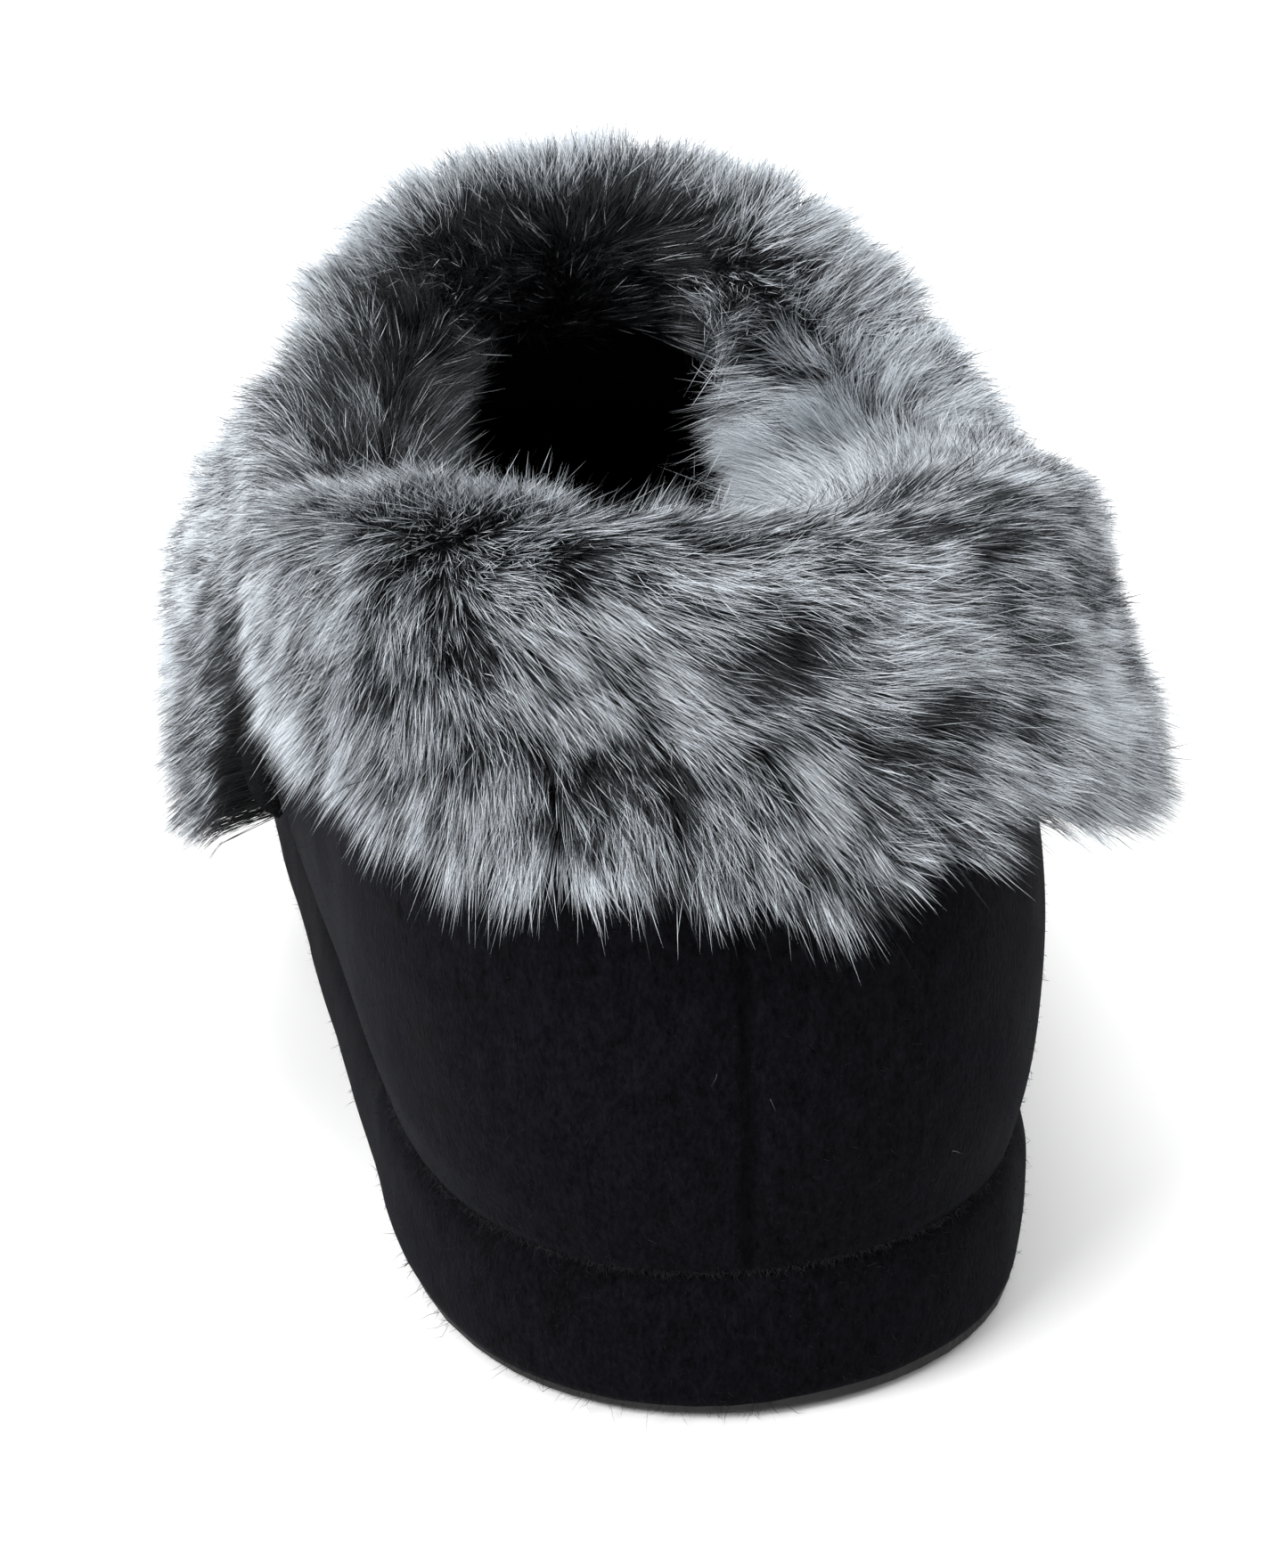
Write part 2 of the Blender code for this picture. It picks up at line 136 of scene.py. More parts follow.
# How the hair lies. along, down: its sweep round the foot and down it, outside. hem_along, hem_down: the
# same at the lower edge. rise: how far over the hem the lowest roots sit. outer, inner: the fur's fullness
# against the solid's, outside and inside. stand: how upright the hair on the collar is. lining_along: the
# lining's sweep round the foot. frost, lining_frost: the share of pale hairs outside and inside. lining_to:
# how far out over the collar the lining's colour goes.
Comb = namedtuple(
    "Comb",
    "turn along down hem_along hem_down rise outer inner stand lining_along frost lining_frost lining_to",
)

BACK_COMB = [
    Comb(-95.0, -0.20, 0.42, -0.15, 1.00, 13.0, 0.90, 1.45, 0.60, 0.0, 0.93, 0.10, 0.445),
    Comb(-75.0, -0.06, 0.34, -0.20, 0.95, 14.0, 0.90, 1.25, 0.55, 0.0, 0.93, 0.30, 0.41),
    Comb(-63.0, 0.16, 0.32, -0.10, 0.95, 14.0, 0.90, 1.10, 0.55, 0.0, 0.93, 0.6, 0.38),
    Comb(-54.0, 0.42, 0.32, 0.05, 0.95, 11.5, 0.90, 0.85, 0.60, 0.0, 0.93, 0.7, 0.36),
    Comb(-44.0, 0.72, 0.32, 0.15, 0.95, 9.0, 0.90, 0.85, 0.60, 0.0, 0.91, 0.7, 0.36),
    Comb(-34.0, 0.92, 0.30, 0.25, 0.92, 6.5, 0.90, 0.85, 0.55, 0.1, 0.86, 0.7, 0.36),
    Comb(-22.0, 1.00, 0.24, 0.35, 0.87, 3.0, 0.90, 0.85, 0.45, 0.2, 0.80, 0.7, 0.38),
    Comb(-10.0, 1.02, 0.16, 0.40, 0.80, 1.5, 0.90, 0.85, 0.40, 0.3, 0.76, 0.7, 0.40),
    Comb(0.0, 1.02, 0.14, 0.50, 0.75, -1.5, 0.90, 0.85, 0.40, 0.3, 0.72, 0.7, 0.42),
    Comb(8.0, 1.05, 0.12, 0.60, 0.70, -4.0, 0.90, 0.85, 0.40, 0.3, 0.65, 0.7, 0.45),
    Comb(16.0, 1.05, 0.10, 0.70, 0.64, 1.0, 0.90, 1.05, 0.50, 0.3, 0.56, 0.7, 0.45),
    Comb(24.0, 1.05, 0.10, 0.75, 0.58, 2.0, 0.91, 1.18, 0.60, 0.3, 0.52, 0.8, 0.45),
    Comb(32.0, 1.05, 0.10, 0.76, 0.54, 1.0, 0.95, 1.35, 0.60, 0.3, 0.52, 0.8, 0.45),
    Comb(42.0, 1.04, 0.10, 0.60, 0.60, -2.0, 1.00, 1.55, 0.60, 0.3, 0.52, 0.8, 0.45),
    Comb(52.0, 1.00, 0.08, 0.42, 0.66, -2.0, 1.03, 1.80, 0.60, 0.2, 0.52, 0.9, 0.45),
    Comb(65.0, 0.95, 0.08, 0.38, 0.66, 1.5, 1.06, 2.10, 0.55, 0.1, 0.53, 1.0, 0.45),
    Comb(80.0, 0.92, 0.10, 0.50, 0.60, 3.0, 0.90, 2.20, 0.50, 0.1, 0.57, 1.08, 0.45),
    Comb(95.0, 0.85, 0.15, 0.60, 0.50, 2.0, 0.66, 2.20, 0.40, 0.0, 0.64, 1.08, 0.45),
]
FRONT_COMB = [
    Comb(95.0, 0.10, 0.60, 0.10, 0.80, 2.0, 0.62, 2.20, 0.30, 0.0, 0.75, 1.14, 0.45),
    Comb(115.0, 0.15, 0.70, 0.15, 0.85, 2.0, 0.72, 1.90, 0.20, -0.3, 0.85, 1.14, 0.44),
    Comb(135.0, 0.25, 0.75, 0.25, 0.90, 2.0, 0.76, 1.75, 0.15, -0.7, 0.90, 0.72, 0.43),
    Comb(155.0, 0.30, 0.80, 0.30, 1.00, 1.0, 0.95, 1.35, 0.15, -0.9, 0.95, 0.32, 0.435),
    Comb(174.0, 0.20, 0.85, 0.20, 1.00, 1.0, 1.06, 0.95, 0.20, -0.6, 1.05, 0.16, 0.425),
    Comb(188.0, 0.10, 0.85, 0.10, 1.00, 1.0, 1.22, 0.90, 0.20, 0.4, 1.10, 0.06, 0.425),
    Comb(206.0, 0.00, 0.80, 0.00, 1.00, 1.0, 1.20, 1.10, 0.15, 0.5, 1.10, 0.02, 0.438),
    Comb(223.0, -0.05, 0.75, -0.05, 0.95, 1.0, 1.00, 1.25, 0.15, 0.4, 1.10, 0.02, 0.443),
    Comb(238.0, -0.10, 0.70, -0.10, 0.90, 0.5, 1.00, 1.35, 0.15, 0.3, 0.95, 0.02, 0.445),
    Comb(252.0, -0.05, 0.65, -0.05, 0.85, -2.2, 1.18, 1.40, 0.25, 0.1, 0.60, 0.06, 0.445),
    Comb(265.0, 0.00, 0.60, 0.00, 0.80, -3.2, 1.10, 1.45, 0.35, 0.0, 0.35, 0.10, 0.445),
]

# Places on the fur where the hair parts and its dark roots show; the hairs there also turn dark more often,
# as painted shade in the parting.
Parting = namedtuple("Parting", "x y z radius depth")

PARTINGS = [
    Parting(1.0, -23.6, 101.2, 8.0, 0.7),
    Parting(1.0, -136.8, 90.2, 7.0, 0.5),
    Parting(-19.2, -135.2, 78.0, 5.0, 0.9),
    Parting(4.7, -143.1, 71.0, 7.0, 0.8),
    Parting(-31.8, -120.1, 92.3, 6.0, 0.25),
    Parting(26.9, -125.8, 94.2, 7.0, 0.5),
    Parting(-0.3, -128.6, 99.5, 6.0, 0.6),
]

# Soft folds of the suede: a line from one point to another, its half width and its depth. A fold of
# negative depth is a ridge.
Fold = namedtuple("Fold", "start end width depth")

UPPER_FOLDS = [
    Fold((0.0, -131.0, 14.0), (0.0, -129.0, 95.0), 2.6, 0.55),
    Fold((-36.0, -92.0, 24.0), (-20.0, -122.0, 21.0), 4.5, -0.5),
    Fold((-38.0, -70.0, 44.0), (-30.0, -112.0, 33.0), 7.0, 0.5),
    Fold((22.0, -124.0, 40.0), (38.0, -86.0, 30.0), 8.0, 0.45),
    Fold((36.0, -20.0, 28.0), (30.0, 18.0, 62.0), 6.0, 0.8),
    Fold((-40.0, -18.0, 28.0), (-32.0, 20.0, 60.0), 6.0, 0.8),
    Fold((46.0, 30.0, 26.0), (12.0, 48.0, 62.0), 7.0, 0.8),
    Fold((-44.0, 28.0, 26.0), (-12.0, 44.0, 62.0), 7.0, 0.7),
]

# A fold's share of its depth at its ends, and how fast it deepens from there along its length
FOLD_END_DEPTH = 0.25
FOLD_END_RATE = 5.0

# Soft unevenness: its size in millimetres, its height in millimetres or in shares, and its seed.
Ripple = namedtuple("Ripple", "size height seed")

BAND_WAVES = Ripple(16.0, 0.35, 1)
BAND_DIMPLES = Ripple(5.0, 0.12, 2)
SHELF_WAVES = Ripple(9.0, 0.6, 7)
INSOLE_WAVES = Ripple(18.0, 0.3, 4)
UPPER_WAVES = Ripple(22.0, 0.35, 6)
SWAY_AROUND = Ripple(14.0, 0.5, 3)
SWAY_DOWN = Ripple(11.0, 0.4, 5)
STREAKS = Ripple(3.0, 1.0, 12)
FROST_PATCHES = Ripple(14.0, 0.45, 14)
SEED_SHIFT = (13.1, 7.7, 3.3)


class SuedeSettings(bpy.types.PropertyGroup):
    colour: bpy.props.FloatVectorProperty(
        name="Suede", description="Colour of the brushed suede", subtype="COLOR",
        default=(0.0026, 0.0026, 0.0037), min=0.0, max=1.0,
    )
    insole_colour: bpy.props.FloatVectorProperty(
        name="Insole", description="Colour of the footbed's cloth", subtype="COLOR",
        default=(0.0130, 0.0100, 0.0085), min=0.0, max=1.0,
    )
    mottle_size: bpy.props.FloatProperty(
        name="Mottle", description="Size of the patches where the nap is brushed another way",
        subtype="DISTANCE", unit="LENGTH", default=0.012, min=0.001,
    )
    nap_size: bpy.props.FloatProperty(
        name="Nap", description="Size of the tufts of the nap", subtype="DISTANCE", unit="LENGTH",
        default=0.0005, min=0.0001,
    )
    fuzz_length: bpy.props.FloatProperty(
        name="Fuzz length", description="Length of the fibres that stand out of the suede",
        subtype="DISTANCE", unit="LENGTH", default=0.00055, min=0.0001,
    )
    fuzz_count: bpy.props.IntProperty(
        name="Fuzz fibres", description="How many fibres stand out of the suede",
        default=20000, min=0, max=30000,
    )


class FurSettings(bpy.types.PropertyGroup):
    root_colour: bpy.props.FloatVectorProperty(
        name="Roots", description="Colour of the hair at its roots", subtype="COLOR",
        default=(0.0060, 0.0065, 0.0075), min=0.0, max=1.0,
    )
    middle_colour: bpy.props.FloatVectorProperty(
        name="Middle", description="Colour of the hair half way up", subtype="COLOR",
        default=(0.085, 0.094, 0.105), min=0.0, max=1.0,
    )
    tip_colour: bpy.props.FloatVectorProperty(
        name="Tips", description="Colour of the frosted tips", subtype="COLOR",
        default=(0.71, 0.76, 0.81), min=0.0, max=1.0,
    )
    dark_tip_colour: bpy.props.FloatVectorProperty(
        name="Dark tips", description="Colour of the tips of the dark hairs", subtype="COLOR",
        default=(0.012, 0.013, 0.016), min=0.0, max=1.0,
    )
    hair_width: bpy.props.FloatProperty(
        name="Hair width", description="Width of one hair", subtype="DISTANCE", unit="LENGTH",
        default=0.000105, min=0.00002,
    )
    outer_sweep: bpy.props.FloatProperty(
        name="Outer sweep", description="How far the outer hair is combed",
        subtype="DISTANCE", unit="LENGTH", default=0.0060, min=0.0,
    )
    lining_sweep: bpy.props.FloatProperty(
        name="Lining sweep", description="How far the hair inside is combed",
        subtype="DISTANCE", unit="LENGTH", default=0.0095, min=0.0,
    )
    lock_spacing: bpy.props.FloatProperty(
        name="Lock spacing", description="Distance between the locks that the hair gathers to",
        subtype="DISTANCE", unit="LENGTH", default=0.0018, min=0.001,
    )
    tuft_spacing: bpy.props.FloatProperty(
        name="Tuft spacing", description="Distance between the tufts that the hair gathers to",
        subtype="DISTANCE", unit="LENGTH", default=0.0042, min=0.001,
    )
    density: bpy.props.FloatProperty(
        name="Density", description="Hairs on each square millimetre of the fur's surface",
        default=8.9, min=0.1, max=12.0,
    )


class SoleSettings(bpy.types.PropertyGroup):
    rubber_colour: bpy.props.FloatVectorProperty(
        name="Rubber", description="Colour of the outsole", subtype="COLOR",
        default=(0.0085, 0.0082, 0.0078), min=0.0, max=1.0,
    )
    pebble_size: bpy.props.FloatProperty(
        name="Pebble", description="Size of the moulded pebble grain", subtype="DISTANCE", unit="LENGTH",
        default=0.0009, min=0.0001,
    )


class StageSettings(bpy.types.PropertyGroup):
    floor_colour: bpy.props.FloatVectorProperty(
        name="Floor", description="Colour of the studio floor", subtype="COLOR",
        default=(0.93, 0.93, 0.93), min=0.0, max=1.0,
    )
    sky_strength: bpy.props.FloatProperty(
        name="Room light", description="Strength of the even light of the room", default=1.0, min=0.0,
    )
    key_power: bpy.props.FloatProperty(
        name="Key light", description="Power of the soft box on the left", subtype="POWER", unit="POWER",
        default=23.0, min=0.0,
    )
    top_power: bpy.props.FloatProperty(
        name="Top light", description="Power of the soft box overhead", subtype="POWER", unit="POWER",
        default=15.0, min=0.0,
    )
    lens: bpy.props.FloatProperty(
        name="Lens", description="Focal length on a frame 36 mm along its long side",
        subtype="DISTANCE_CAMERA", default=90.0, min=1.0,
    )


def hermite(before, start, end, after, gaps, share):
    """A point between start and end on a smooth curve through four rows of numbers, gaps apart."""
    a, b, c, d = (np.asarray(row, float) for row in (before, start, end, after))
    leave = ((b - a) / gaps[0] * gaps[1] + (c - b) / gaps[1] * gaps[0]) / (gaps[0] + gaps[1])
    arrive = ((c - b) / gaps[1] * gaps[2] + (d - c) / gaps[2] * gaps[1]) / (gaps[1] + gaps[2])
    s2 = share * share
    s3 = s2 * share
    return (
        (2 * s3 - 3 * s2 + 1) * b
        + (s3 - 2 * s2 + share) * gaps[1] * leave
        + (3 * s2 - 2 * s3) * c
        + (s3 - s2) * gaps[1] * arrive
    )


def around_sole():
    """Smooth rows round the sole: heel, inner side, toe and outer side."""
    rows = [[s.medial, s.station, s.collar_turn, *s[4:]] for s in SECTIONS]
    rows += [[-s.lateral, s.station, 360.0 - s.collar_turn, *s[4:]] for s in reversed(SECTIONS[1:-1])]
    count = len(rows)

    def row(i):
        lap, place = divmod(i, count)
        turned = list(rows[place])
        turned[2] += 360.0 * lap
        return turned

    smooth = []
    for i in range(count):
        four = [row(i + j) for j in (-1, 0, 1, 2)]
        gaps = [math.dist(a[:2], b[:2]) for a, b in zip(four, four[1:])]
        smooth += [hermite(*four, gaps, step / STEPS_PER_SECTION) for step in range(STEPS_PER_SECTION)]
    return smooth


AROUND = around_sole()
COLUMNS = len(AROUND)


def outward(index):
    """The level direction out of the sole's edge at a place round it."""
    a = AROUND[(index - 1) % COLUMNS]
    b = AROUND[(index + 1) % COLUMNS]
    return Vector((b[1] - a[1], a[0] - b[0], 0.0)).normalized()


def band_top(station):
    """The height of the platform's top at a station along the sole."""
    past = max(0.0, station - TOE_SPRING_FROM) / (SOLE_LENGTH - TOE_SPRING_FROM)
    share = min(max(station / TOE_SPRING_FROM, 0.0), 1.0)
    return BAND_TOP_HEEL + (BAND_TOP_TOE - BAND_TOP_HEEL) * share + TOE_SPRING * past * past


def row_at(rows, turn):
    """The sizes between a table's rows at a place round the collar."""
    last = len(rows) - 1
    i = max(j for j in range(last) if j == 0 or rows[j].turn <= turn)
    four = [rows[min(max(i + j, 0), last)] for j in (-1, 0, 1, 2)]
    gap = four[2].turn - four[1].turn
    gaps = [four[1].turn - four[0].turn or gap, gap, four[3].turn - four[2].turn or gap]
    return type(rows[0])(*hermite(*four, gaps, (turn - four[1].turn) / gap))


def collar_point(turn):
    """A point on the upper's top edge, and the level direction out of the collar there."""
    angle = math.radians(turn)
    side = math.copysign(abs(math.sin(angle)) ** COLLAR_SQUARENESS, math.sin(angle))
    point = Vector((
        COLLAR_HALF_WIDTH * side + COLLAR_FRONT_SHIFT * (1.0 - math.cos(angle)) / 2,
        COLLAR_MIDDLE - COLLAR_HALF_LENGTH * math.cos(angle),
        row_at(COLLAR_ROWS, abs((turn + 180.0) % 360.0 - 180.0)).height,
    ))
    out = Vector((COLLAR_HALF_LENGTH * math.sin(angle), -COLLAR_HALF_WIDTH * math.cos(angle), 0.0))
    return point, out.normalized()


def rib(index):
    """The four handles of the curve from the sole's edge up to the collar at a place round the sole."""
    x, station, turn, lean, rise, recline, settle = AROUND[index % COLUMNS]
    start = Vector((x, station, 0.0)) - outward(index) * FEATHER_INSET
    start.z = band_top(start.y) + GAP
    end, out_of_collar = collar_point(turn)
    up = Vector((0.0, 0.0, 1.0))
    leave = up + outward(index) * lean
    arrive = (up - out_of_collar * recline).normalized()
    return start, start + leave * rise, end - arrive * settle, end


RIBS = [rib(index) for index in range(COLUMNS)]


def upper_point(column, share):
    """A point on the upper's outside: column round the sole, share of the way up to the collar."""
    low = math.floor(column)
    part = column - low
    handles = [a.lerp(b, part) for a, b in zip(RIBS[low % COLUMNS], RIBS[(low + 1) % COLUMNS])]
    rest = 1.0 - share
    weights = (rest**3, 3 * rest * rest * share, 3 * rest * share * share, share**3)
    return sum((h * w for h, w in zip(handles, weights)), Vector())


def upper_frame(column, share):
    """The outward normal and the upward direction on the upper's outside."""
    step = 0.01
    up = upper_point(column, share) - upper_point(column, share - step)
    along = upper_point(column + 0.5, share) - upper_point(column - 0.5, share)
    return along.cross(up).normalized(), up.normalized()


HALVINGS = 18


def share_at_height(column, height):
    """How far up its rib the upper reaches a height."""
    low, high = 0.0, 1.0
    for _ in range(HALVINGS):
        middle = (low + high) / 2
        if upper_point(column, middle).z < height:
            low = middle
        else:
            high = middle
    return low


def collar_turn(column):
    """The place round the collar over a place round the sole."""
    low = math.floor(column)
    here, there = (AROUND[i % COLUMNS][2] + 360.0 * (i // COLUMNS) for i in (low, low + 1))
    return here + (there - here) * (column - low)


def select_only(obj):
    """Makes one object the only one that operators act on."""
    bpy.ops.object.select_all(action="DESELECT")
    obj.hide_set(False)
    obj.select_set(True)
    bpy.context.view_layer.objects.active = obj


def apply_all(obj):
    """Applies an object's modifiers, in their order."""
    select_only(obj)
    for modifier in list(obj.modifiers):
        bpy.ops.object.modifier_apply(modifier=modifier.name)


# Smoothing of a solid's mesh: how near points merge, how flat triangles pair and how sharp edges stay
WELD_DISTANCE = 0.00001
PAIRING_ANGLE = math.radians(60.0)
EDGE_CREASE = 0.7


def refined_copy(node, name, levels, crease_angle):
    """A smoother mesh of a solid's form: doubles merged, triangles paired, edges kept and faces divided."""
    obj = bpy.data.objects.new(name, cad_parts[node].data.copy())
    bpy.context.scene.collection.objects.link(obj)
    obj.data.materials.clear()
    select_only(obj)
    bpy.ops.object.mode_set(mode="EDIT")
    bpy.ops.mesh.select_mode(type="EDGE")
    bpy.ops.mesh.select_all(action="SELECT")
    bpy.ops.mesh.remove_doubles(threshold=WELD_DISTANCE)
    bpy.ops.mesh.customdata_custom_splitnormals_clear()
    bpy.ops.mesh.mark_sharp(clear=True)
    bpy.ops.mesh.tris_convert_to_quads(face_threshold=PAIRING_ANGLE, shape_threshold=PAIRING_ANGLE)
    bpy.ops.mesh.select_all(action="DESELECT")
    bpy.ops.mesh.edges_select_sharp(sharpness=crease_angle)
    bpy.ops.transform.edge_crease(value=EDGE_CREASE)
    bpy.ops.mesh.select_all(action="DESELECT")
    bpy.ops.object.mode_set(mode="OBJECT")
    finer = obj.modifiers.new("finer", "SUBSURF")
    finer.levels = levels
    finer.render_levels = levels
    apply_all(obj)
    bpy.ops.object.shade_smooth()
    return obj


def mesh_points(obj):
    """A mesh's points, in metres."""
    points = np.empty(len(obj.data.vertices) * 3, np.float32)
    obj.data.vertices.foreach_get("co", points)
    return points.reshape(-1, 3).astype(float)


def mesh_normals(obj):
    """The normals at a mesh's points."""
    normals = np.empty(len(obj.data.vertices) * 3, np.float32)
    obj.data.vertex_normals.foreach_get("vector", normals)
    return normals.reshape(-1, 3).astype(float)


def set_points(obj, points):
    """Moves a mesh's points."""
    obj.data.vertices.foreach_set("co", points.astype(np.float32).ravel())
    obj.data.update()


def ripple(points, kind):
    """Smooth uneven numbers over points in metres, from about -1 to 1 times the ripple's height."""
    scale = 1.0 / (kind.size * MM)
    shift = Vector([kind.seed * part for part in SEED_SHIFT])
    return np.array([noise.noise(Vector(p) * scale + shift) for p in points]) * kind.height


def fold_depth(points, folds):
    """How far in each point goes, in metres, for soft troughs and ridges along lines on the wall."""
    depth = np.zeros(len(points))
    for fold in folds:
        a = np.array(fold.start) * MM
        b = np.array(fold.end) * MM
        line = b - a
        share = np.clip((points - a) @ line / (line @ line), 0.0, 1.0)
        away = np.linalg.norm(points - (a + share[:, None] * line), axis=1) / (fold.width * MM)
        fade = np.clip(np.minimum(share, 1.0 - share) * FOLD_END_RATE + FOLD_END_DEPTH, 0.0, 1.0)
        depth += fold.depth * MM * fade * np.exp(-away * away)
    return depth


def finish_piece(obj, finish, slot, *nodes):
    """Gives a piece its material and sets it on the slipper in place of its solids; its slot is not used."""
    obj.data.materials.clear()
    obj.data.materials.append(finish)
    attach(obj, BODY)
    if nodes:
        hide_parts(*nodes)


def add_node(tree, kind, values=None, **settings):
    """A new node with its settings, and its inputs set to values or linked to other nodes."""
    node = tree.nodes.new(kind)
    for name, value in settings.items():
        setattr(node, name, value)
    for name, value in (values or {}).items():
        if isinstance(value, bpy.types.NodeSocket):
            tree.links.new(value, node.inputs[name])
        else:
            node.inputs[name].default_value = value
    return node


def maths(tree, operation, first, second=0.0):
    """The outcome of a sum on two numbers or outputs."""
    return add_node(tree, "ShaderNodeMath", {0: first, 1: second}, operation=operation).outputs[0]


def ease(tree, value, low, high, to_low=0.0, to_high=1.0):
    """A smooth step of a value from one number to another between two limits."""
    node = add_node(
        tree, "ShaderNodeMapRange",
        {"Value": value, "From Min": low, "From Max": high, "To Min": to_low, "To Max": to_high},
        interpolation_type="SMOOTHSTEP",
    )
    return node.outputs[0]


def cloud(tree, place, scale, detail, roughness=0.5, distortion=0.0):
    """Soft uneven values between 0 and 1 over the surface."""
    values = {"Vector": place, "Scale": scale, "Detail": detail, "Roughness": roughness}
    return add_node(tree, "ShaderNodeTexNoise", {**values, "Distortion": distortion}).outputs[0]


def tinted(tree, colour, factor):
    """A colour made lighter or darker by a factor that changes over the surface."""
    grey = add_node(tree, "ShaderNodeCombineColor", {0: factor, 1: factor, 2: factor})
    node = add_node(tree, "ShaderNodeMix", {"Factor": 1.0}, data_type="RGBA", blend_type="MULTIPLY")
    for source, target in ((colour, node.inputs[6]), (grey.outputs[0], node.inputs[7])):
        if isinstance(source, bpy.types.NodeSocket):
            tree.links.new(source, target)
        else:
            target.default_value = source
    return node.outputs[2]


def new_material(name, roughness=0.9, **constants):
    """A material with its shader and Object coordinates."""
    made = bpy.data.materials.new(name)
    made.use_nodes = True
    tree = made.node_tree
    shader = tree.nodes["Principled BSDF"]
    shader.inputs["Roughness"].default_value = roughness
    for socket, value in constants.items():
        shader.inputs[socket.replace("_", " ")].default_value = value
    place = add_node(tree, "ShaderNodeTexCoord").outputs["Object"]
    return made, tree, shader, place


def bump(tree, shader, height, strength, distance):
    """Gives a shader a fine relief."""
    node = add_node(tree, "ShaderNodeBump", {"Strength": strength, "Distance": distance, "Height": height})
    tree.links.new(node.outputs[0], shader.inputs["Normal"])


# The nap's texture: its scale along each axis, the clots' scale against the tufts', and the share of each
NAP_SCALES = (1.0, 1.0, 0.55)
CLOT_SCALE = 0.31
TUFT_SHARE = 0.65
CLOT_SHARE = 0.35
DARKEST_NAP = 0.12


def nap_group():
    """Brushed nap: mottled tone, short tufts and their height, for suede, cloth and underfur."""
    found = bpy.data.node_groups.get("brushed_nap")
    if found:
        return found
    group = bpy.data.node_groups.new("brushed_nap", "ShaderNodeTree")
    face = group.interface
    for name, kind in (
        ("Place", "NodeSocketVector"), ("Colour", "NodeSocketColor"),
        ("Mottle Scale", "NodeSocketFloat"), ("Mottle Depth", "NodeSocketFloat"),
        ("Nap Scale", "NodeSocketFloat"), ("Nap Depth", "NodeSocketFloat"),
    ):
        face.new_socket(name, in_out="INPUT", socket_type=kind)
    for name, kind in (
        ("Colour", "NodeSocketColor"), ("Roughness", "NodeSocketFloat"), ("Height", "NodeSocketFloat"),
    ):
        face.new_socket(name, in_out="OUTPUT", socket_type=kind)
    given = add_node(group, "NodeGroupInput").outputs
    result = add_node(group, "NodeGroupOutput").inputs
    mottle = cloud(group, given["Place"], given["Mottle Scale"], detail=4.0, roughness=0.6, distortion=0.6)
    stretch = add_node(group, "ShaderNodeMapping", {"Vector": given["Place"], "Scale": NAP_SCALES})
    stretched = stretch.outputs[0]
    tuft = cloud(group, stretched, given["Nap Scale"], detail=3.0, roughness=0.7, distortion=0.4)
    clot_scale = maths(group, "MULTIPLY", given["Nap Scale"], CLOT_SCALE)
    clot = cloud(group, stretched, clot_scale, detail=2.0, roughness=0.6)
    patch = maths(group, "MULTIPLY", maths(group, "SUBTRACT", mottle, 0.5), given["Mottle Depth"])
    grain = maths(
        group, "ADD", maths(group, "MULTIPLY", tuft, TUFT_SHARE), maths(group, "MULTIPLY", clot, CLOT_SHARE),
    )
    fleck = maths(group, "MULTIPLY", maths(group, "SUBTRACT", grain, 0.5), given["Nap Depth"])
    uneven = maths(group, "ADD", maths(group, "ADD", patch, fleck), 1.0)
    factor = maths(group, "MAXIMUM", uneven, DARKEST_NAP)
    group.links.new(tinted(group, given["Colour"], factor), result["Colour"])
    group.links.new(ease(group, mottle, 0.3, 0.7, to_low=0.82, to_high=0.98), result["Roughness"])
    group.links.new(grain, result["Height"])
    return group


def brushed(tree, place, colour, mottle_size, mottle_depth, nap_size, nap_depth):
    """The nap group set into a material with its own values."""
    node = add_node(tree, "ShaderNodeGroup", node_tree=nap_group())
    tree.links.new(place, node.inputs["Place"])
    node.inputs["Colour"].default_value = (*colour, 1.0)
    node.inputs["Mottle Scale"].default_value = 1.0 / mottle_size
    node.inputs["Mottle Depth"].default_value = mottle_depth
    node.inputs["Nap Scale"].default_value = 1.0 / nap_size
    node.inputs["Nap Depth"].default_value = nap_depth
    return node.outputs


def wear_nap(tree, shader, nap, colour, strength, distance):
    """Gives a shader the nap's roughness and relief, and a colour."""
    tree.links.new(colour, shader.inputs["Base Color"])
    tree.links.new(nap["Roughness"], shader.inputs["Roughness"])
    bump(tree, shader, nap["Height"], strength, distance)


# Painted shade along the groove of the centre-back seam and in the pinhole of a stitch: places and widths in
# metres, how dark the painted shade gets in shares
SEAM_WAVER = 0.0012
SEAM_WAVER_SCALE = 160.0
SEAM_EDGES = (0.0002, 0.0014)
SEAM_PAINTED_SHADE = 0.52
SEAM_ENDS = (-0.118, -0.112)
PINHOLE = (-0.0334, -0.1060, 0.0514)
PINHOLE_EDGES = (0.0006, 0.0013)
PINHOLE_PAINTED_SHADE = 0.85


